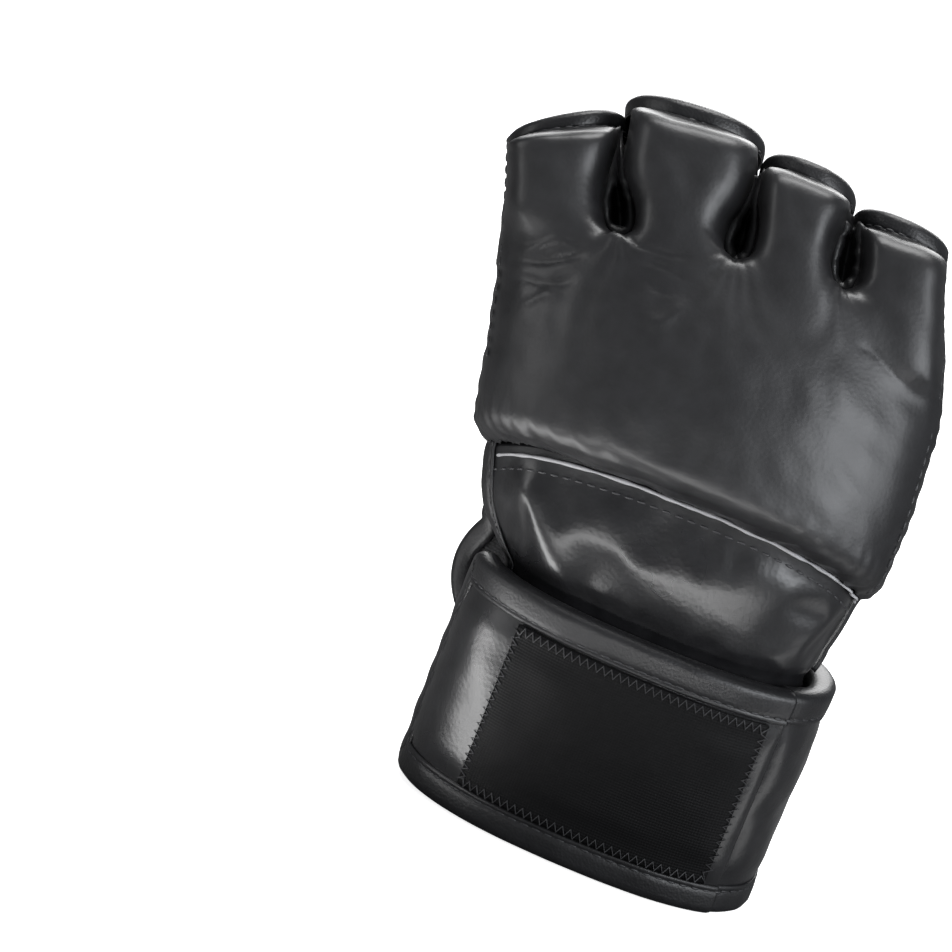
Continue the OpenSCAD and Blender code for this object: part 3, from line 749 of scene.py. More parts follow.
print("tape legs mm", round(0.8 * rim_w / MM, 2), round(rim_w / MM, 2), round(tape_w / MM, 2))

# %% [markdown]
# ### The tapes round the openings
# The palm hole, the thumb opening and the four finger rims are bound with the same tape.

# %% Bind the openings
hole_lane = np.stack(hole_point(-np.linspace(0, 360, 220, endpoint=False)), 1)
r = np.radians(np.linspace(0, 360, 200, endpoint=False))
thumb_lane = np.stack([180 - np.where(np.sin(r) > 0, thumb_hole_t / 2, thumb_back_t) * np.sin(r),
                       thumb_hole_s - thumb_hole_h / 2 * np.cos(r)], 1)
for name, lane, gap, seed in (("palm_hole_tape", hole_lane, 0.25 * MM, 51),
                              ("thumb_hole_tape", thumb_lane, 0.4 * MM, 52)):
    bump = 0.12 * MM * waves(palm_at(*lane.T), 7 * MM, seed)
    rings = tape_rings(palm_at, lane, hand_wall, rim_w, "hand", bump, True, gap)
    riding(swept(name, bend(rings), True), "hand", "binding_tape", name)

for i, name in enumerate(finger_names):
    at = lambda t, s, d, i=i: finger_at(i, t, s, d)
    lane = np.stack([-np.linspace(0, 360, 100, endpoint=False) % 360,
                     np.full(100, finger_s[i])], 1)
    lane = lane[np.argsort(-lane[:, 0])]
    bump = 0.10 * MM * waves(at(lane[:, 0], lane[:, 1], 0), 7 * MM, 53 + i)
    rings = tape_rings(at, lane, hand_wall + pad_skin, 0.8 * rim_w, "fingers", bump, True)
    riding(swept(f"{name}_tape", bend(rings, i), True), "fingers", "binding_tape", f"{name}_tape")
print("tape rings", rings.shape)

# %% [markdown]
# ## Cuff
# The cuff is a band of foam between leather and lining, bound with tape all round. Its
# free end over the back of the wrist is the strap. Foam makes both bulge a little.

# %% Band and strap
cuff_foot, cuff_head = edge_rise, cuff_h - edge_rise
strap_foot, strap_head = cuff_foot + run_gap, cuff_head
strap_far_t = strap_root_t - 0.6
band_root_t = strap_root_t - 360


def band_end(z):
    return band_end_t - band_cut_t * ease((z - band_cut_z) / band_cut_h)


def strap_end(z):
    far = np.minimum(z - strap_foot, strap_head - z)
    return strap_end_t + corner_t * (1 - rise(far / corner_z))


def cuff_grid(edges, d, rows=44, cols=120, bulge=0.0, rough=0.0, seed=60):
    """A grid over the cuff at height d. Its edges are two angles as functions of z, its
    lowest and highest z, and how far the whole plate is lifted."""
    left, right, low, high, lift = edges
    z = np.linspace(low, high, rows)[:, None]
    q = np.linspace(0, 1, cols)[None]
    t = mix(left(z), right(z), q)
    v = 2 * (z - low) / (high - low) - 1
    crown = ease((0.85 - np.abs(v)) / 0.3) * np.maximum(0, 1 - (2 * q - 1) ** 24)
    base = cuff_at(t, z, lift + d)
    wave, fine = (waves(base.reshape(-1, 3), scale * MM, seed + k).reshape(t.shape)
                  for k, scale in enumerate((21, 8)))
    return cuff_at(t, z, lift + d + crown * (bulge + rough * (wave + 0.35 * fine)))


def slab(outer, inner):
    """Points and faces of a closed solid between two open grids."""
    rows, cols = outer.shape[:2]
    n = rows * cols
    front = quads(rows, cols)
    ring = np.concatenate([np.arange(cols), np.arange(1, rows) * cols + cols - 1,
                           (rows - 1) * cols + np.arange(cols - 2, -1, -1),
                           np.arange(rows - 2, 0, -1) * cols])
    after = np.roll(ring, -1)
    wall = np.stack([ring, ring + n, after + n, after], -1)
    points = np.concatenate([outer.reshape(-1, 3), inner.reshape(-1, 3)])
    return points, np.concatenate([front, front[:, ::-1] + n, wall])


def plate(name, edges, outer_d, inner_d, body, slot, *nodes, rows=44, cols=120, **swell):
    """A closed plate between two heights over the cuff."""
    outer = cuff_grid(edges, outer_d, rows, cols, **swell)
    inner = cuff_grid(edges, inner_d, rows, cols)
    return riding(make(name, *slab(outer, inner)), body, slot, *nodes)


fixed = lambda v: (lambda z: v + 0 * z)
core_d = lining + 0.3 * MM
band_edges = fixed(band_root_t), band_end, cuff_foot, cuff_head, 0
strap_edges = strap_end, fixed(strap_far_t), strap_foot, strap_head, strap_lift
for edges, body, kind, cols, swell in (
        (band_edges, "hand", "band", 170, dict(bulge=0.9 * MM, rough=0.16 * MM)),
        (strap_edges, "strap", "strap", 160, dict(bulge=0.8 * MM, rough=0.06 * MM, seed=64))):
    padded = plate(f"{kind}_leather", edges, cuff_wall, core_d, body, "leather",
                   f"{kind}_leather", f"{kind}_foam", cols=cols, **swell)
    plate(f"{kind}_lining", edges, lining, 0, body, "knit_lining", f"{kind}_lining", cols=cols)


def cuff_tape(name, lane, lift, body, seed):
    at = lambda t, z, d: cuff_at(t, z, lift + d)
    bump = 0.10 * MM * waves(at(*lane.T, 0), 9 * MM, seed)
    rings = tape_rings(at, lane, cuff_wall, tape_w + 0.6 * MM, body, bump)
    return riding(swept(name, rings, False), body, "binding_tape", name)


z = np.linspace(band_cut_z, band_cut_z + band_cut_h, 30)
zz = np.linspace(strap_head, strap_foot, 60)
band_lane = np.concatenate([
    np.stack([np.linspace(band_root_t, band_end(cuff_foot), 150), np.full(150, cuff_foot)], 1),
    np.stack([band_end(z), z], 1),
    np.stack([np.linspace(band_end(cuff_head), band_root_t, 140), np.full(140, cuff_head)], 1)])
strap_lane = np.concatenate([
    np.stack([np.linspace(strap_far_t, strap_end(strap_head), 120), np.full(120, strap_head)], 1),
    np.stack([strap_end(zz), zz], 1)[1:-1],
    np.stack([np.linspace(strap_end(strap_foot), strap_far_t, 120), np.full(120, strap_foot)], 1)])
cuff_tape("band_tape", band_lane, 0, "hand", 66)
cuff_tape("strap_tape", strap_lane, strap_lift, "strap", 67)
print("cuff from", round(cuff_foot, 4), "to", round(cuff_head, 4))

# %% [markdown]
# ## Loose leather at the wrist
# The panel between the pad and the cuff has no foam. It is cut a little too large and
# gathered by the cuff, so it buckles. Cloth simulation finds those folds: the panel
# grows while its edges are held, and folds where it has nowhere to go.

# %% Fold the wrist panel
in_cuff_s, fold_frames = 52 * MM, 28
growth, stiffness, bending = 0.016, 25, 14.0
lift_min, lift_max, slide_max = -0.5 * MM, 4.2 * MM, 3 * MM


def wrist_points(d):
    q = np.linspace(0, 1, 170)[None]
    low = np.linspace(hem_s, in_cuff_s, 8)[:, None] + 0 * q
    top = pad_low(180 + 180 * q) + 1.5 * MM
    v = np.linspace(0, 1, 52)[1:, None]
    s = np.concatenate([low, mix(in_cuff_s, top, v)])
    t = mix(back_edge(s), 359.7, q)
    share = near_thumb(t)[..., None]
    return mix(hand_at(t, s, d), palm_at(t, s, d), share), q + 0 * s, s


wrist, q, s = wrist_points(hand_wall)
rows, cols = wrist.shape[:2]
flat, q, s = wrist.reshape(-1, 3), q.ravel(), s.ravel()
above = wrist_points(hand_wall + MM)[0].reshape(-1, 3)
seed_h = sum(high * fold_line(flat[:, 0], s, a, b, wide, seed) for high, a, b, wide, seed in (
    (2.8, (-44, 92), (-20, 62), 4.5, 71), (0.5, (10, 76), (46, 69), 1.6, 73),
    (0.5, (16, 71), (44, 65), 1.4, 74))) + 0.05 * waves(flat, 20 * MM, 75)
free = ease((s - (cuff_h - 4 * MM)) / (6 * MM)) * ease((pad_low(180 + 180 * q) - s) / (6 * MM))
free = free * ease(q / 0.03) * ease((1 - q) / 0.03)
settled = bend(flat + (above - flat) * (seed_h * free)[:, None])
cloth = make("wrist_cloth", settled, quads(rows, cols))
pins = cloth.vertex_groups.new(name="held")
for k in np.nonzero(free < 0.999)[0]:
    pins.add([int(k)], float(1 - 0.995 * free[k]), "REPLACE")
mod = cloth.modifiers.new("folds", "CLOTH")
st = mod.settings
st.vertex_group_mass = "held"
st.quality, st.mass = 6, 0.4
st.shrink_min = st.shrink_max = -growth
st.tension_stiffness = st.compression_stiffness = stiffness
st.shear_stiffness, st.bending_stiffness = 8, bending
st.use_pressure, st.uniform_pressure_force = True, 0.6
st.effector_weights.gravity = 0
mod.point_cache.frame_start, mod.point_cache.frame_end = 1, fold_frames + 2
for f in range(1, fold_frames + 1):
    bpy.context.scene.frame_set(f)
moved = points_of(cloth)[0]
bpy.context.scene.frame_set(1)
bpy.data.objects.remove(cloth)
base = bend(flat)
out = unit(bend(above) - base)
move = moved - base
high = (move * out).sum(1)
side = move - high[:, None] * out
high = np.clip(high, lift_min, lift_max)
far = np.linalg.norm(side, axis=1, keepdims=True)
side *= np.minimum(1, slide_max / np.maximum(far, 1e-9))
settled = base + (side + out * high[:, None]) * np.clip(free, 0, 1)[:, None]
settled = relax(settled, quads(rows, cols), 6, lambda p: free > 0.05, plain=True)
print("folds up to mm", round(float(high.max() / MM), 2),
      "sideways", round(float(far.max() / MM), 2))
under = bend(wrist_points(lining + seam_gap)[0])
points, faces = slab(settled.reshape(rows, cols, 3), under)
riding(make("wrist_panel", points, faces), "hand", "leather", "wrist_panel")
near_wrist = BVHTree.FromPolygons(settled.tolist(), quads(rows, cols).tolist())

# %% [markdown]
# ## Seams
# A thin welt, whose pale grey is a painted highlight, shows where the pad's cover is turned
# under at the wrist, and a seam runs up both sides of the hand. Each is a round profile
# swept along a path that rays drop onto the skin, so it touches the leather all along.

# %% Welt and side seams
near_skin = BVHTree.FromPolygons(skin.tolist(), skin_faces.tolist())


def round_rings(path, out, r, sides=10):
    side = unit(np.cross(out, ahead_of(path)))
    up = np.cross(ahead_of(path), side)
    a = np.linspace(0, 2 * np.pi, sides, endpoint=False)[None, :, None]
    r = np.reshape(r, (-1, 1, 1))
    return path[:, None] + r * (np.cos(a) * side[:, None] + np.sin(a) * up[:, None])


def even(path, step, loop=False):
    """The same path with points a step apart."""
    path = np.asarray(path)
    if loop:
        path = np.concatenate([path, path[:1]])
    far = np.concatenate([[0], np.cumsum(np.linalg.norm(np.diff(path, axis=0), axis=1))])
    n = max(3, int(round(far[-1] / step)))
    q = np.linspace(0, far[-1], n + 1)[:-1 if loop else None]
    return np.stack([np.interp(q, far, path[:, c]) for c in range(path.shape[1])], 1)


def dropped(tree, p, out, far=0.02):
    """Points moved along out onto the surface in tree, or left where nothing is hit."""
    hits = [tree.ray_cast(Vector(a + b * far), Vector(-b), 2 * far)[0] for a, b in zip(p, out)]
    return np.array([a if hit is None else np.array(hit) for a, hit in zip(p, hits)])


def on_skin(p, out, lift, far=0.02):
    """Straight points on the skin, lifted off it."""
    return dropped(near_skin, p, unit(out), far) + unit(out) * lift


def hand_row(t, s):
    """Points on the leather and the way out of it."""
    p = hand_at(t, s, hand_wall)
    return p, unit(hand_at(t, s, hand_wall + MM) - p)


def bent_row(path, out, loop, *finger):
    p = bend(path, *finger)
    return p, unit(bend(path + out * MM, *finger) - p), loop


q = np.linspace(0, 1, 240)
s = pad_low(180 + 180 * q) - 0.6 * MM
t = mix(pad_edge(s) + 2, 359.2, q)
p, out = hand_row(t, s)
p = on_skin(p, out, 0.3 * MM)
r = 0.42 * MM * (1 + 0.15 * waves(p, 6 * MM, 44))
welt = swept("pad_piping", bend(round_rings(p, out, r)), False)
riding(welt, "hand", "binding_tape", "pad_piping")
p, out, _ = bent_row(*hand_row(t, s - 3.2 * MM), False)
pad_stitches = dropped(near_wrist, p, out), out, False


def relax_path(p, rounds):
    """Smooths a path and keeps its ends."""
    p = p.copy()
    for _ in range(rounds):
        p[1:-1] += 0.5 * ((p[:-2] + p[2:]) / 2 - p[1:-1])
    return p


seam_step = 0.9 * MM
above_wrist = lambda p: ease((p[:, 2] - 88 * MM) / (14 * MM))


def side_path(t, low, finger):
    """Up the side of the hand and on along the outer finger to its rim."""
    s = np.arange(low, knuckle_s - 6 * MM, seam_step)
    s2 = np.arange(knuckle_s + 6 * MM, finger_s[finger] - 4.5 * MM, seam_step)
    p = np.concatenate([hand_at(t, s, 0), finger_at(finger, t + 0 * s2, s2, 0.0)])
    p[:, 1] -= mix(0.2, 1.5, above_wrist(p)) * MM
    p = even(p, seam_step)
    out = np.tile([math.cos(math.radians(t)), -0.12, 0.0], (len(p), 1))
    return relax_path(on_skin(p, out, 0.0, 0.03), 6), unit(out)


for name, t, low, finger in (("thumb_seam", 180.0, thumb_top + 3 * MM, 0),
                             ("little_seam", 360.0, cuff_h + 2 * MM, 3)):
    p, out = side_path(t, low, finger)
    r = mix(1.4, 0.9, above_wrist(p)) * MM
    obj = swept(name, bend(round_rings(p + out * 0.2 * MM, out, r)), False)
    riding(obj, "hinged", "leather", name)
    q = (p + np.array([-3.5 * MM * out[0, 0], -4.5 * MM, 0]))[p[:, 2] > pad_s + 6 * MM]
    out = out[:len(q)] - [0, 1.2, 0]
    stitch_rows.setdefault("hinged", []).append((on_skin(q, out, -0.1 * MM), unit(out), False))
print("side seams", [len(row[0]) for row in stitch_rows["hinged"]], "points")

# %% [markdown]
# ## Slit cords
# Between the fingers the leather is turned under into a soft roll. Rays find both sides
# of a slit and its bottom, and a thin cord follows them. Voxels would be too coarse for
# so small a roll.

# %% Slit cords
def slit_path(k, y=-11 * MM):
    """Down one side of slit k, round its bottom and up the other side, on the skin."""
    def seen(x, s, way, far):
        hit = near_skin.ray_cast(Vector((x, y, s)), Vector(way), far)[0]
        return [] if hit is None else [hit]

    sides = []
    top = min(finger_s[k], finger_s[k + 1]) - 3.5 * MM
    centre = slit_low[k] + 3 * MM
    for way in (1, -1):
        path = []
        for s in np.arange(top, slit_low[k] + 1 * MM, -0.8 * MM):
            x = (finger_x(k, s) + finger_half(k, s)
                 + finger_x(k + 1, s) - finger_half(k + 1, s)) / 2
            path += seen(x, s, (way, 0, 0), 0.012)
        path = np.array(path)
        sides.append(path[path[:, 2] > centre])
    low = []
    for a in np.radians(np.linspace(10, -190, 25)):
        low += seen(slit_x[k], centre, (math.cos(a), 0, math.sin(a)), 0.02)
    return relax_path(even(np.concatenate([sides[0], low, sides[1][::-1]]), 0.7 * MM), 12)


slit_paths = [slit_path(k) for k in range(3)]
for k, path in enumerate(slit_paths):
    out = np.tile([0.0, -1.0, 0.0], (len(path), 1))
    r = 1.75 * MM * (1 + 0.10 * waves(path, 4 * MM, 46 + k))
    cord = swept(f"slit_cord_{k + 1}", bend(round_rings(path, out, r, 14)), False)
    riding(cord, "hinged", "binding_tape")
lengths = [np.linalg.norm(np.diff(p, axis=0), axis=1).sum() for p in slit_paths]
print("slit cords mm", [round(float(v / MM)) for v in lengths])

# %% [markdown]
# ## Patches
# The label patch is left blank. The loop patch takes the strap's hooks, and the stay is
# the stiff strip seen inside the wrist.

# %% Patches and the stay
patch_rise = tape_w + 1 * MM
strap_span = strap_foot + patch_rise, strap_head - patch_rise
band_span = cuff_foot + patch_rise, cuff_head - patch_rise
label_t, hook_t = strap_far_t - 9, strap_end_t + 17
label_edges = fixed(label_t), fixed(label_t - 76), *strap_span, strap_lift
label_form = dict(rows=40, cols=100, bulge=0.55 * MM, rough=0.1 * MM, seed=64)
label_top = cuff_wall + 1.55 * MM
plate("label_patch", label_edges, label_top, cuff_wall + 0.3 * MM, "strap", "label_cloth",
      "label_patch", **label_form)
loop_end = lambda z: band_end(z) - 17
plate("loop_patch", (fixed(60), loop_end, *band_span, 0), cuff_wall + 1.9 * MM,
      cuff_wall + 0.5 * MM, "hand", "loop_pile", "loop_patch", cols=90)
plate("hook_patch", (fixed(hook_t), fixed(hook_t + 50), *strap_span, strap_lift), -0.3 * MM,
      -0.8 * MM, "strap", "hook_pile", "hook_patch", rows=20, cols=40)

q = np.linspace(0, 1, 120)[None]
z = np.linspace(-6.5, 6.5, 16)[:, None] * MM + cuff_h
teeth = np.abs(((q * 26) % 1) * 2 - 1) * np.sign(z - cuff_h)
zig = 0.9 * MM * teeth * (np.abs(z - cuff_h) > 5.6 * MM)
t = mix(236, 326, q)
stay = [bend(hand_at(t, z + zig, d)) for d in (-0.3 * MM, -1.3 * MM)]
riding(make("wrist_stay", *slab(*stay)), "hand", "webbing", "wrist_stay")

# %% [markdown]
# ## Nodes by name
# Materials and Geometry Nodes are both graphs. Two helpers make a node with its settings
# and links in one call, so each graph below reads like a list of its nodes.

# %% Node helpers
def put(tree, node, values):
    """Sets a node's properties and inputs, and links in a value that is a node or a socket."""
    for key, value in values.items():
        value = value.outputs[0] if isinstance(value, bpy.types.Node) else value
        if isinstance(value, bpy.types.NodeSocket):
            tree.links.new(value, node.inputs[key])
        elif isinstance(key, str) and hasattr(node, key):
            setattr(node, key, value)
        else:
            node.inputs[key].default_value = value
    return node


def maker(tree, prefix):
    """A function that adds nodes to a tree. Keywords are inputs."""
    return lambda kind, values={}, **inputs: put(
        tree, tree.nodes.new(prefix + kind),
        values | {key.replace("_", " "): value for key, value in inputs.items()})


print("node helpers for", bpy.app.version_string)

# %% [markdown]
# ## Thread and pile
# Each seam is stitched, and hook and loop are fields of tiny wires. All of them are
# Geometry Nodes, because one small shape set many times is what instances are for: a
# stitch at every step of a path, or a ring at random points with a fixed seed.

# %% Node trees for stitches, thread and pile
def tree_of(name, grow, **inputs):
    """A tree that turns its mesh into what grow makes of it, in the given thread."""
    tree = bpy.data.node_groups.new(name, "GeometryNodeTree")
    for label, kind in [("Geometry", "Geometry"), *inputs.items(), ("Thread", "Material")]:
        tree.interface.new_socket(label, in_out="INPUT", socket_type="NodeSocket" + kind)
    tree.interface.new_socket("Geometry", in_out="OUTPUT", socket_type="NodeSocketGeometry")
    node = maker(tree, "GeometryNode")
    give, take = tree.nodes.new("NodeGroupInput"), tree.nodes.new("NodeGroupOutput")
    real = node("RealizeInstances", Geometry=grow(node, maker(tree, "FunctionNode"), give.outputs))
    put(tree, take, {0: node("SetMaterial", Geometry=real, Material=give.outputs["Thread"])})
    return tree


def stitch_rows_grown(node, fn, give):
    curve = node("MeshToCurve", Mesh=give["Geometry"])
    even_ = node("ResampleCurve", {"mode": "LENGTH"}, Curve=curve, Length=give["Step"])
    out = node("InputNamedAttribute", {"data_type": "FLOAT_VECTOR"}, Name="out")
    first = fn("AlignRotationToVector", {"axis": "X"}, Vector=node("InputTangent"))
    second = fn("AlignRotationToVector", {"axis": "Z", "pivot_axis": "X"},
                    Vector=out, Rotation=first)
    bead = node("MeshUVSphere", Segments=8, Rings=5, Radius=1.0)
    rows = node("InstanceOnPoints", Points=even_, Instance=bead, Rotation=second,
                Scale=give["Size"])
    return node("SetShadeSmooth", Geometry=rows)


def thread_grown(node, fn, give):
    return node("CurveToMesh", Fill_Caps=True, Curve=node("MeshToCurve", Mesh=give["Geometry"]),
                Profile_Curve=node("CurvePrimitiveCircle", Resolution=6, Radius=give["Radius"]))


def fuzz_grown(node, fn, give):
    """Small open loops, each turned its own way."""
    dots = node("DistributePointsOnFaces", Mesh=give["Geometry"], Density=give["Density"],
                Seed=give["Seed"])
    arc = node("CurveArc", {"Sweep Angle": math.radians(215)}, Resolution=5, Radius=0.55)
    loop = node("CurveToMesh", Curve=arc,
                Profile_Curve=node("CurvePrimitiveCircle", Resolution=3, Radius=0.11))
    stand = node("Transform", Rotation=(math.radians(90), math.radians(17), 0), Geometry=loop)
    any_turn = fn("RandomValue", {"data_type": "FLOAT_VECTOR", 0: (-0.5, -0.5, 0),
                                      1: (0.5, 0.5, 6.28)}, Seed=give["Seed"])
    twist = fn("RotateRotation", {"rotation_space": "LOCAL"},
                   Rotation=dots.outputs["Rotation"], Rotate_By=any_turn)
    return node("InstanceOnPoints", Points=dots, Instance=stand, Rotation=twist,
                Scale=give["Height"])


def grown(name, source, tree, values):
    """The mesh that a node tree grows from source, as a plain object."""
    mod = source.modifiers.new("nodes", "NODES")
    mod.node_group = tree
    for item in tree.interface.items_tree:
        if item.in_out == "INPUT" and item.name in values:
            mod[item.identifier] = values[item.name]
    source.update_tag()
    grid = bpy.context.evaluated_depsgraph_get()
    mesh = bpy.data.meshes.new_from_object(source.evaluated_get(grid))
    mesh.name = name
    bpy.data.objects.remove(source)
    return linked(name, mesh)


def paths_mesh(rows):
    """An object of polylines, with the way out of the surface as an attribute."""
    points, edges, outs, n = [], [], [], 0
    for path, out, loop in rows:
        m = len(path)
        points.append(path)
        outs.append(out)
        edges += [(n + k, n + k + 1) for k in range(m - 1)] + ([(n + m - 1, n)] if loop else [])
        n += m
    mesh = bpy.data.meshes.new("paths")
    mesh.from_pydata(np.concatenate(points).tolist(), edges, [])
    way_out = mesh.attributes.new("out", "FLOAT_VECTOR", "POINT").data
    way_out.foreach_set("vector", np.concatenate(outs).ravel())
    return linked("paths", mesh)


# %% [markdown]
# ## Materials
# All the leather is the same smooth coated leather, black, with a fine grain. It is a
# little duller on the pad, where it is stretched over foam, and shinier at the cuff.

# %% Materials
def material(name, colour, rough, look=None, **inputs):
    mat = bpy.data.materials.new(name)
    mat.use_nodes = True
    tree = mat.node_tree
    values = {"Base Color": (*colour, 1), "Roughness": rough}
    values |= {key.replace("_", " "): value for key, value in inputs.items()}
    shader = put(tree, tree.nodes["Principled BSDF"], values)
    if look:
        node = maker(tree, "ShaderNode")
        put(tree, shader, look(node, node("TexCoord").outputs["Object"]))
    return mat


def ramp(node, source, low, high, a, b):
    """Maps source from low..high to a..b."""
    return node("MapRange", {"From Min": low, "From Max": high, "To Min": a, "To Max": b},
                Value=source)


def shades(node, colour, share, dark, light):
    """A colour between a darker and a lighter shade of itself."""
    return node("Mix", {"data_type": "RGBA", 0: share, 6: (*[c * dark for c in colour], 1),
                        7: (*[c * light for c in colour], 1)}).outputs[2]


def leather_look(colour, rough_low, rough_high, grain=0.25, scale=900.0):
    def look(node, place):
        cells = node("TexVoronoi", {"feature": "SMOOTH_F1"}, Scale=scale, Smoothness=0.6,
                     Vector=place)
        soft = node("TexNoise", Scale=190.0, Detail=5.0, Vector=place)
        broad = node("TexNoise", Scale=32.0, Detail=3.0, Vector=place)
        add = node("Math", {"operation": "MULTIPLY_ADD", 0: soft, 1: 0.6, 2: cells})
        return {"Normal": node("Bump", Strength=grain, Distance=0.00012, Height=add),
                "Roughness": ramp(node, broad, 0.3, 0.7, rough_low, rough_high),
                "Base Color": shades(node, colour, ramp(node, soft, 0.3, 0.75, 0, 1), 0.75, 1.3)}
    return look


def knit_look(colour, scale):
    def look(node, place):
        cells = node("TexVoronoi", Scale=scale, Randomness=0.35, Vector=place)
        soft = node("TexNoise", Scale=60.0, Detail=4.0, Vector=place)
        return {"Normal": node("Bump", {"invert": True}, Strength=0.9, Distance=0.0004,
                               Height=cells),
                "Roughness": ramp(node, soft, 0.3, 0.7, 0.78, 0.95),
                "Base Color": shades(node, colour, ramp(node, cells, 0.1, 0.6, 1, 0), 0.35, 1.25)}
    return look


def satin_look(colour):
    def look(node, place):
        ribs, yarn = (node("TexWave", {"bands_direction": way}, Scale=420.0, Distortion=0.4,
                           Vector=place).outputs["Fac"] for way in "ZX")
        add = node("Math", {"operation": "ADD", 0: ribs, 1: yarn})
        return {"Normal": node("Bump", Strength=0.25, Distance=0.0002, Height=add),
                "Base Color": shades(node, colour, ramp(node, add, 0.2, 1.6, 0, 1), 0.7, 1.3)}
    return look


def rough_look(scale, low):
    """Only the roughness varies."""
    return lambda node, place: {"Roughness": ramp(
        node, node("TexNoise", Scale=scale, Vector=place), 0.3, 0.7, low, 0.7)}


def grey(v, blue):
    """A grey that is slightly blue, like all black leather and cloth here."""
    return v, v, blue


ink = grey(0.0105, 0.0115)
mats = {name: material(name, *values, **inputs) for name, values, inputs in (
    ("pad_leather", (ink, 0.42, leather_look(ink, 0.37, 0.46)),
     dict(Coat_Weight=0.06, Coat_Roughness=0.3)),
    ("leather", (ink, 0.3, leather_look(ink, 0.25, 0.34)),
     dict(Coat_Weight=0.12, Coat_Roughness=0.2)),
    ("binding_tape", (ink, 0.4, leather_look(grey(0.008, 0.009), 0.36, 0.5, 0.5, 1500.0)), {}),
    ("knit_lining", (grey(0.02, 0.022), 0.9, knit_look(grey(0.022, 0.024), 1150.0)), {}),
    ("loop_pile", (grey(0.012, 0.013), 0.95, knit_look(grey(0.014, 0.015), 1500.0)),
     dict(Sheen_Weight=0.25, Sheen_Roughness=0.5)),
    ("hook_pile", (grey(0.012, 0.013), 0.6, knit_look(grey(0.014, 0.015), 900.0)), {}),
    ("label_cloth", (grey(0.004, 0.0043), 0.5, satin_look(grey(0.004, 0.0043))),
     dict(Specular_IOR_Level=0.1)),
    ("webbing", (grey(0.012, 0.013), 0.8, knit_look(grey(0.015, 0.016), 1300.0)), {}))}
thread_mat = material("thread", grey(0.02, 0.022), 0.5, rough_look(2500.0, 0.35))
# Pale grey for the thin welt under the pad: a painted highlight along its rolled edge.
welt_highlight_mat = material("welt_painted_highlight", grey(0.3, 0.31), 0.5, rough_look(900.0, 0.45))
print("materials", len(bpy.data.materials))

# %% [markdown]
# ## Stitch the seams
# Every tape and seam has left its row of stitches, still straight. The rows are bent with
# the hand here, and each body gets all of its stitches as one piece.

# %% Stitches
stitch_step, stitch_size = 3.3 * MM, (1.25 * MM, 0.38 * MM, 0.3 * MM)
stitches = tree_of("stitches", stitch_rows_grown, Step="Float", Size="Vector")
for body, rows in stitch_rows.items():
    rows = [bent_row(*row, *([i] if body == "fingers" else [])) for i, row in enumerate(rows)]
    if body == "hand":
        rows.append(pad_stitches)
    obj = grown(f"stitches_{body}", paths_mesh(rows), stitches, {
        "Step": stitch_step, "Size": stitch_size, "Thread": thread_mat})
    riding(obj, body, "binding_tape")
    print("stitches on", body, len(obj.data.polygons))

# %% [markdown]
# ## Zigzag, loops and hooks
# The label is sewn on with a zigzag: a thread that swings about a line just inside its
# edge. Loops and hooks grow on the patches' faces, a little inside their edges.

# %% Zigzag, loops and hooks
thread = tree_of("thread", thread_grown, Radius="Float")
fuzz = tree_of("pile", fuzz_grown, Density="Float", Seed="Int", Height="Float")
edge = cuff_grid(label_edges, label_top, **label_form)
border = np.concatenate([edge[1, 1:-1], edge[1:-1, -2], edge[-2, -2:0:-1], edge[-2:0:-1, 1]])
zig_step, zig_half, zig_r = 1.1 * MM, 1.1 * MM, 0.28 * MM
border = even(border, zig_step, loop=True)
out = unit(np.stack([border[:, 0] / 60, border[:, 1] / 25, 0 * border[:, 0]], 1))
side = unit(np.cross(out, ahead_of(border, True)))
zig = border + side * (zig_half * (-1.0) ** np.arange(len(border)))[:, None] + out * 0.15 * MM
even_count = len(zig) // 2 * 2
riding(grown("label_zigzag", paths_mesh([(zig[:even_count], out[:even_count], True)]),
             thread, {"Radius": zig_r, "Thread": thread_mat}), "strap", "label_cloth")


def pile(name, body, slot, edges, d, rows, cols, turned, count, seed, height):
    """Loops or hooks on a part of the cuff, a little inside the edges of their patch."""
    left, right, low, high, lift = edges
    top = cuff_grid((left, right, low + MM, high - MM, lift), d, rows, cols)
    source = make("pile_top", top.reshape(-1, 3), quads(rows, cols)[:, ::turned])
    obj = grown(name, source, fuzz, {"Density": count, "Seed": seed,
                                     "Height": height * MM, "Thread": mats[slot]})
    return riding(obj, body, slot)


loops = pile("loop_pile", "hand", "loop_pile",
             (fixed(61), lambda z: loop_end(z) - 1, *band_span, 0),
             cuff_wall + 1.85 * MM, 30, 70, 1, 1.1e6, 7, 0.75)
pile("hook_hooks", "strap", "hook_pile",
     (fixed(hook_t + 1), fixed(hook_t + 49), *strap_span, strap_lift),
     -0.75 * MM, 10, 20, -1, 7e5, 8, 0.4)
print("loop pile", len(loops.data.polygons))

# The welt gets the pale grey of its painted highlight.
welt.data.materials.append(welt_highlight_mat)
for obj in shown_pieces():
    if obj.type == "MESH" and not obj.data.materials:
        obj.data.materials.append(mats.get(obj.get("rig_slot", ""), mats["leather"]))

# %% [markdown]
# ## Floor and light
# Floor and background are white to the camera but light the glove only dimly. Five soft
# lights give the black leather its broad highlights, and three low cards that the camera
# doesn't see stand in for a bright floor.

# %% Floor and light
def by_ray(tree, output, seen, unseen):
    """One look for the camera's rays and another for all the others."""
    node = maker(tree, "ShaderNode")
    ray = node("LightPath").outputs["Is Camera Ray"]
    put(tree, tree.nodes[output], {"Surface": node("MixShader", {0: ray, 1: unseen, 2: seen})})


world = bpy.data.worlds.new("studio")
bpy.context.scene.world = world
world.use_nodes = True
tree = world.node_tree
node = maker(tree, "ShaderNode")
sky = put(tree, tree.nodes["Background"], {"Color": (0.86, 0.88, 0.92, 1), "Strength": 0.2})
by_ray(tree, "World Output", node("Background", Color=(1, 1, 1, 1), Strength=1.0), sky)

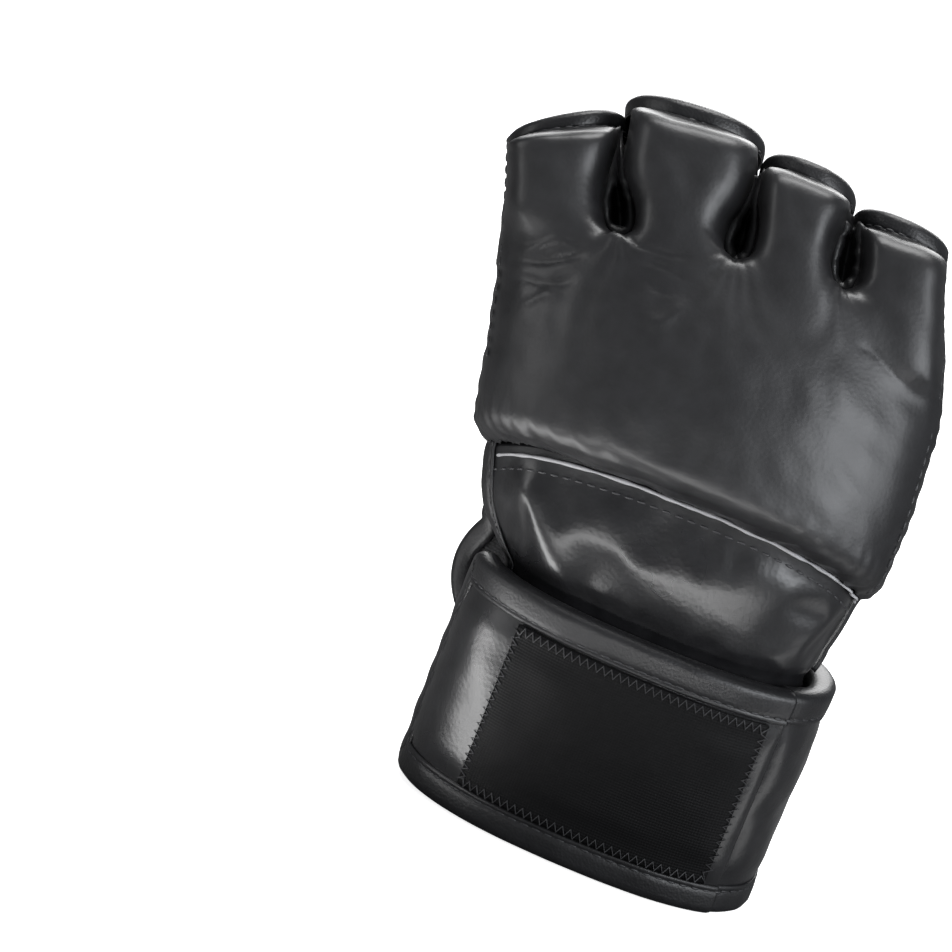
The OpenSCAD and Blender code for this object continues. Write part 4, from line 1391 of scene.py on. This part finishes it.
floor_mat = material("floor", (0.92, 0.92, 0.92), 0.9, Specular_IOR_Level=0.0)
tree = floor_mat.node_tree
node = maker(tree, "ShaderNode")
glow = node("Emission", Color=(1, 1, 1, 1), Strength=0.84)
by_ray(tree, "Material Output", node("AddShader", {0: tree.nodes["Principled BSDF"], 1: glow}),
       node("BsdfDiffuse", Color=(0.14, 0.14, 0.14, 1)))
floor_half = 3.0
floor = make("floor", [(x * floor_half, y * floor_half, 0) for x, y in (
    (-1, -1), (1, -1), (1, 1), (-1, 1))], [(0, 1, 2, 3)])
floor.data.materials.append(floor_mat)


def area(name, place, target, power, wide, high, colour=(1, 1, 1)):
    lamp = bpy.data.lights.new(name, "AREA")
    lamp.shape, lamp.size, lamp.size_y = "RECTANGLE", wide, high
    lamp.energy, lamp.color = power, colour
    obj = linked(name, lamp)
    obj.location = place
    way = Vector(target) - Vector(place)
    obj.rotation_euler = way.to_track_quat("-Z", "Y").to_euler()
    return obj


area("key", (0.68, -0.72, 0.48), (0, 0, 0.1), 8.0, 0.5, 0.6, (0.93, 0.96, 1.0))
area("left", (-0.7, -0.35, 0.25), (0, 0, 0.08), 1.0, 0.2, 0.5)
area("right", (0.85, -0.3, 0.3), (0, 0, 0.1), 2.5, 0.3, 0.5, (0.93, 0.96, 1.0))
area("top", (-0.1, 0.1, 0.9), (0, 0, 0.12), 7.0, 0.6, 0.4)
area("back", (-0.1, 0.9, 0.55), (0, 0, 0.1), 8.0, 0.8, 0.5)
for x, y, wide, high, power in ((-0.12, -0.07, 0.15, 0.05, 0.22), (0.17, -0.05, 0.2, 0.03, 0.04),
                               (0.0, -0.3, 0.34, 0.12, 1.6)):
    card = area("card", (x, y, 0.003), (x, y, 1), power, wide, high)
    card.visible_camera = False
print("lights", len(bpy.data.lights))

# %% [markdown]
# ## Camera
# The camera looks at the back of the hand from a little above and to the right, through
# a long lens that keeps the cuff and the fingers at one scale. It is turned about its
# own axis, so that the glove leans.

# %% Camera
a, e, roll = math.radians(6), math.radians(16), math.radians(21)
distance = 0.928
away = Vector((math.sin(a) * math.cos(e), -math.cos(a) * math.cos(e), math.sin(e)))
r0 = Vector((math.cos(a), math.sin(a), 0))
up0 = Vector((-math.sin(a) * math.sin(e), math.cos(a) * math.sin(e), math.cos(e)))
right = math.cos(roll) * r0 + math.sin(roll) * up0
up = math.cos(roll) * up0 - math.sin(roll) * r0
camera = linked("camera", bpy.data.cameras.new("camera"))
camera.data.lens, camera.data.sensor_width = 135, 36
aim = -0.0567 * r0 + 0.0769 * up0
turn = Matrix((right, up, away)).transposed().to_4x4()
camera.matrix_world = Matrix.Translation(aim + away * distance) @ turn
bpy.context.scene.camera = camera
bpy.context.scene.view_settings.view_transform = "Standard"
print("camera at", tuple(round(v, 3) for v in camera.matrix_world.translation))
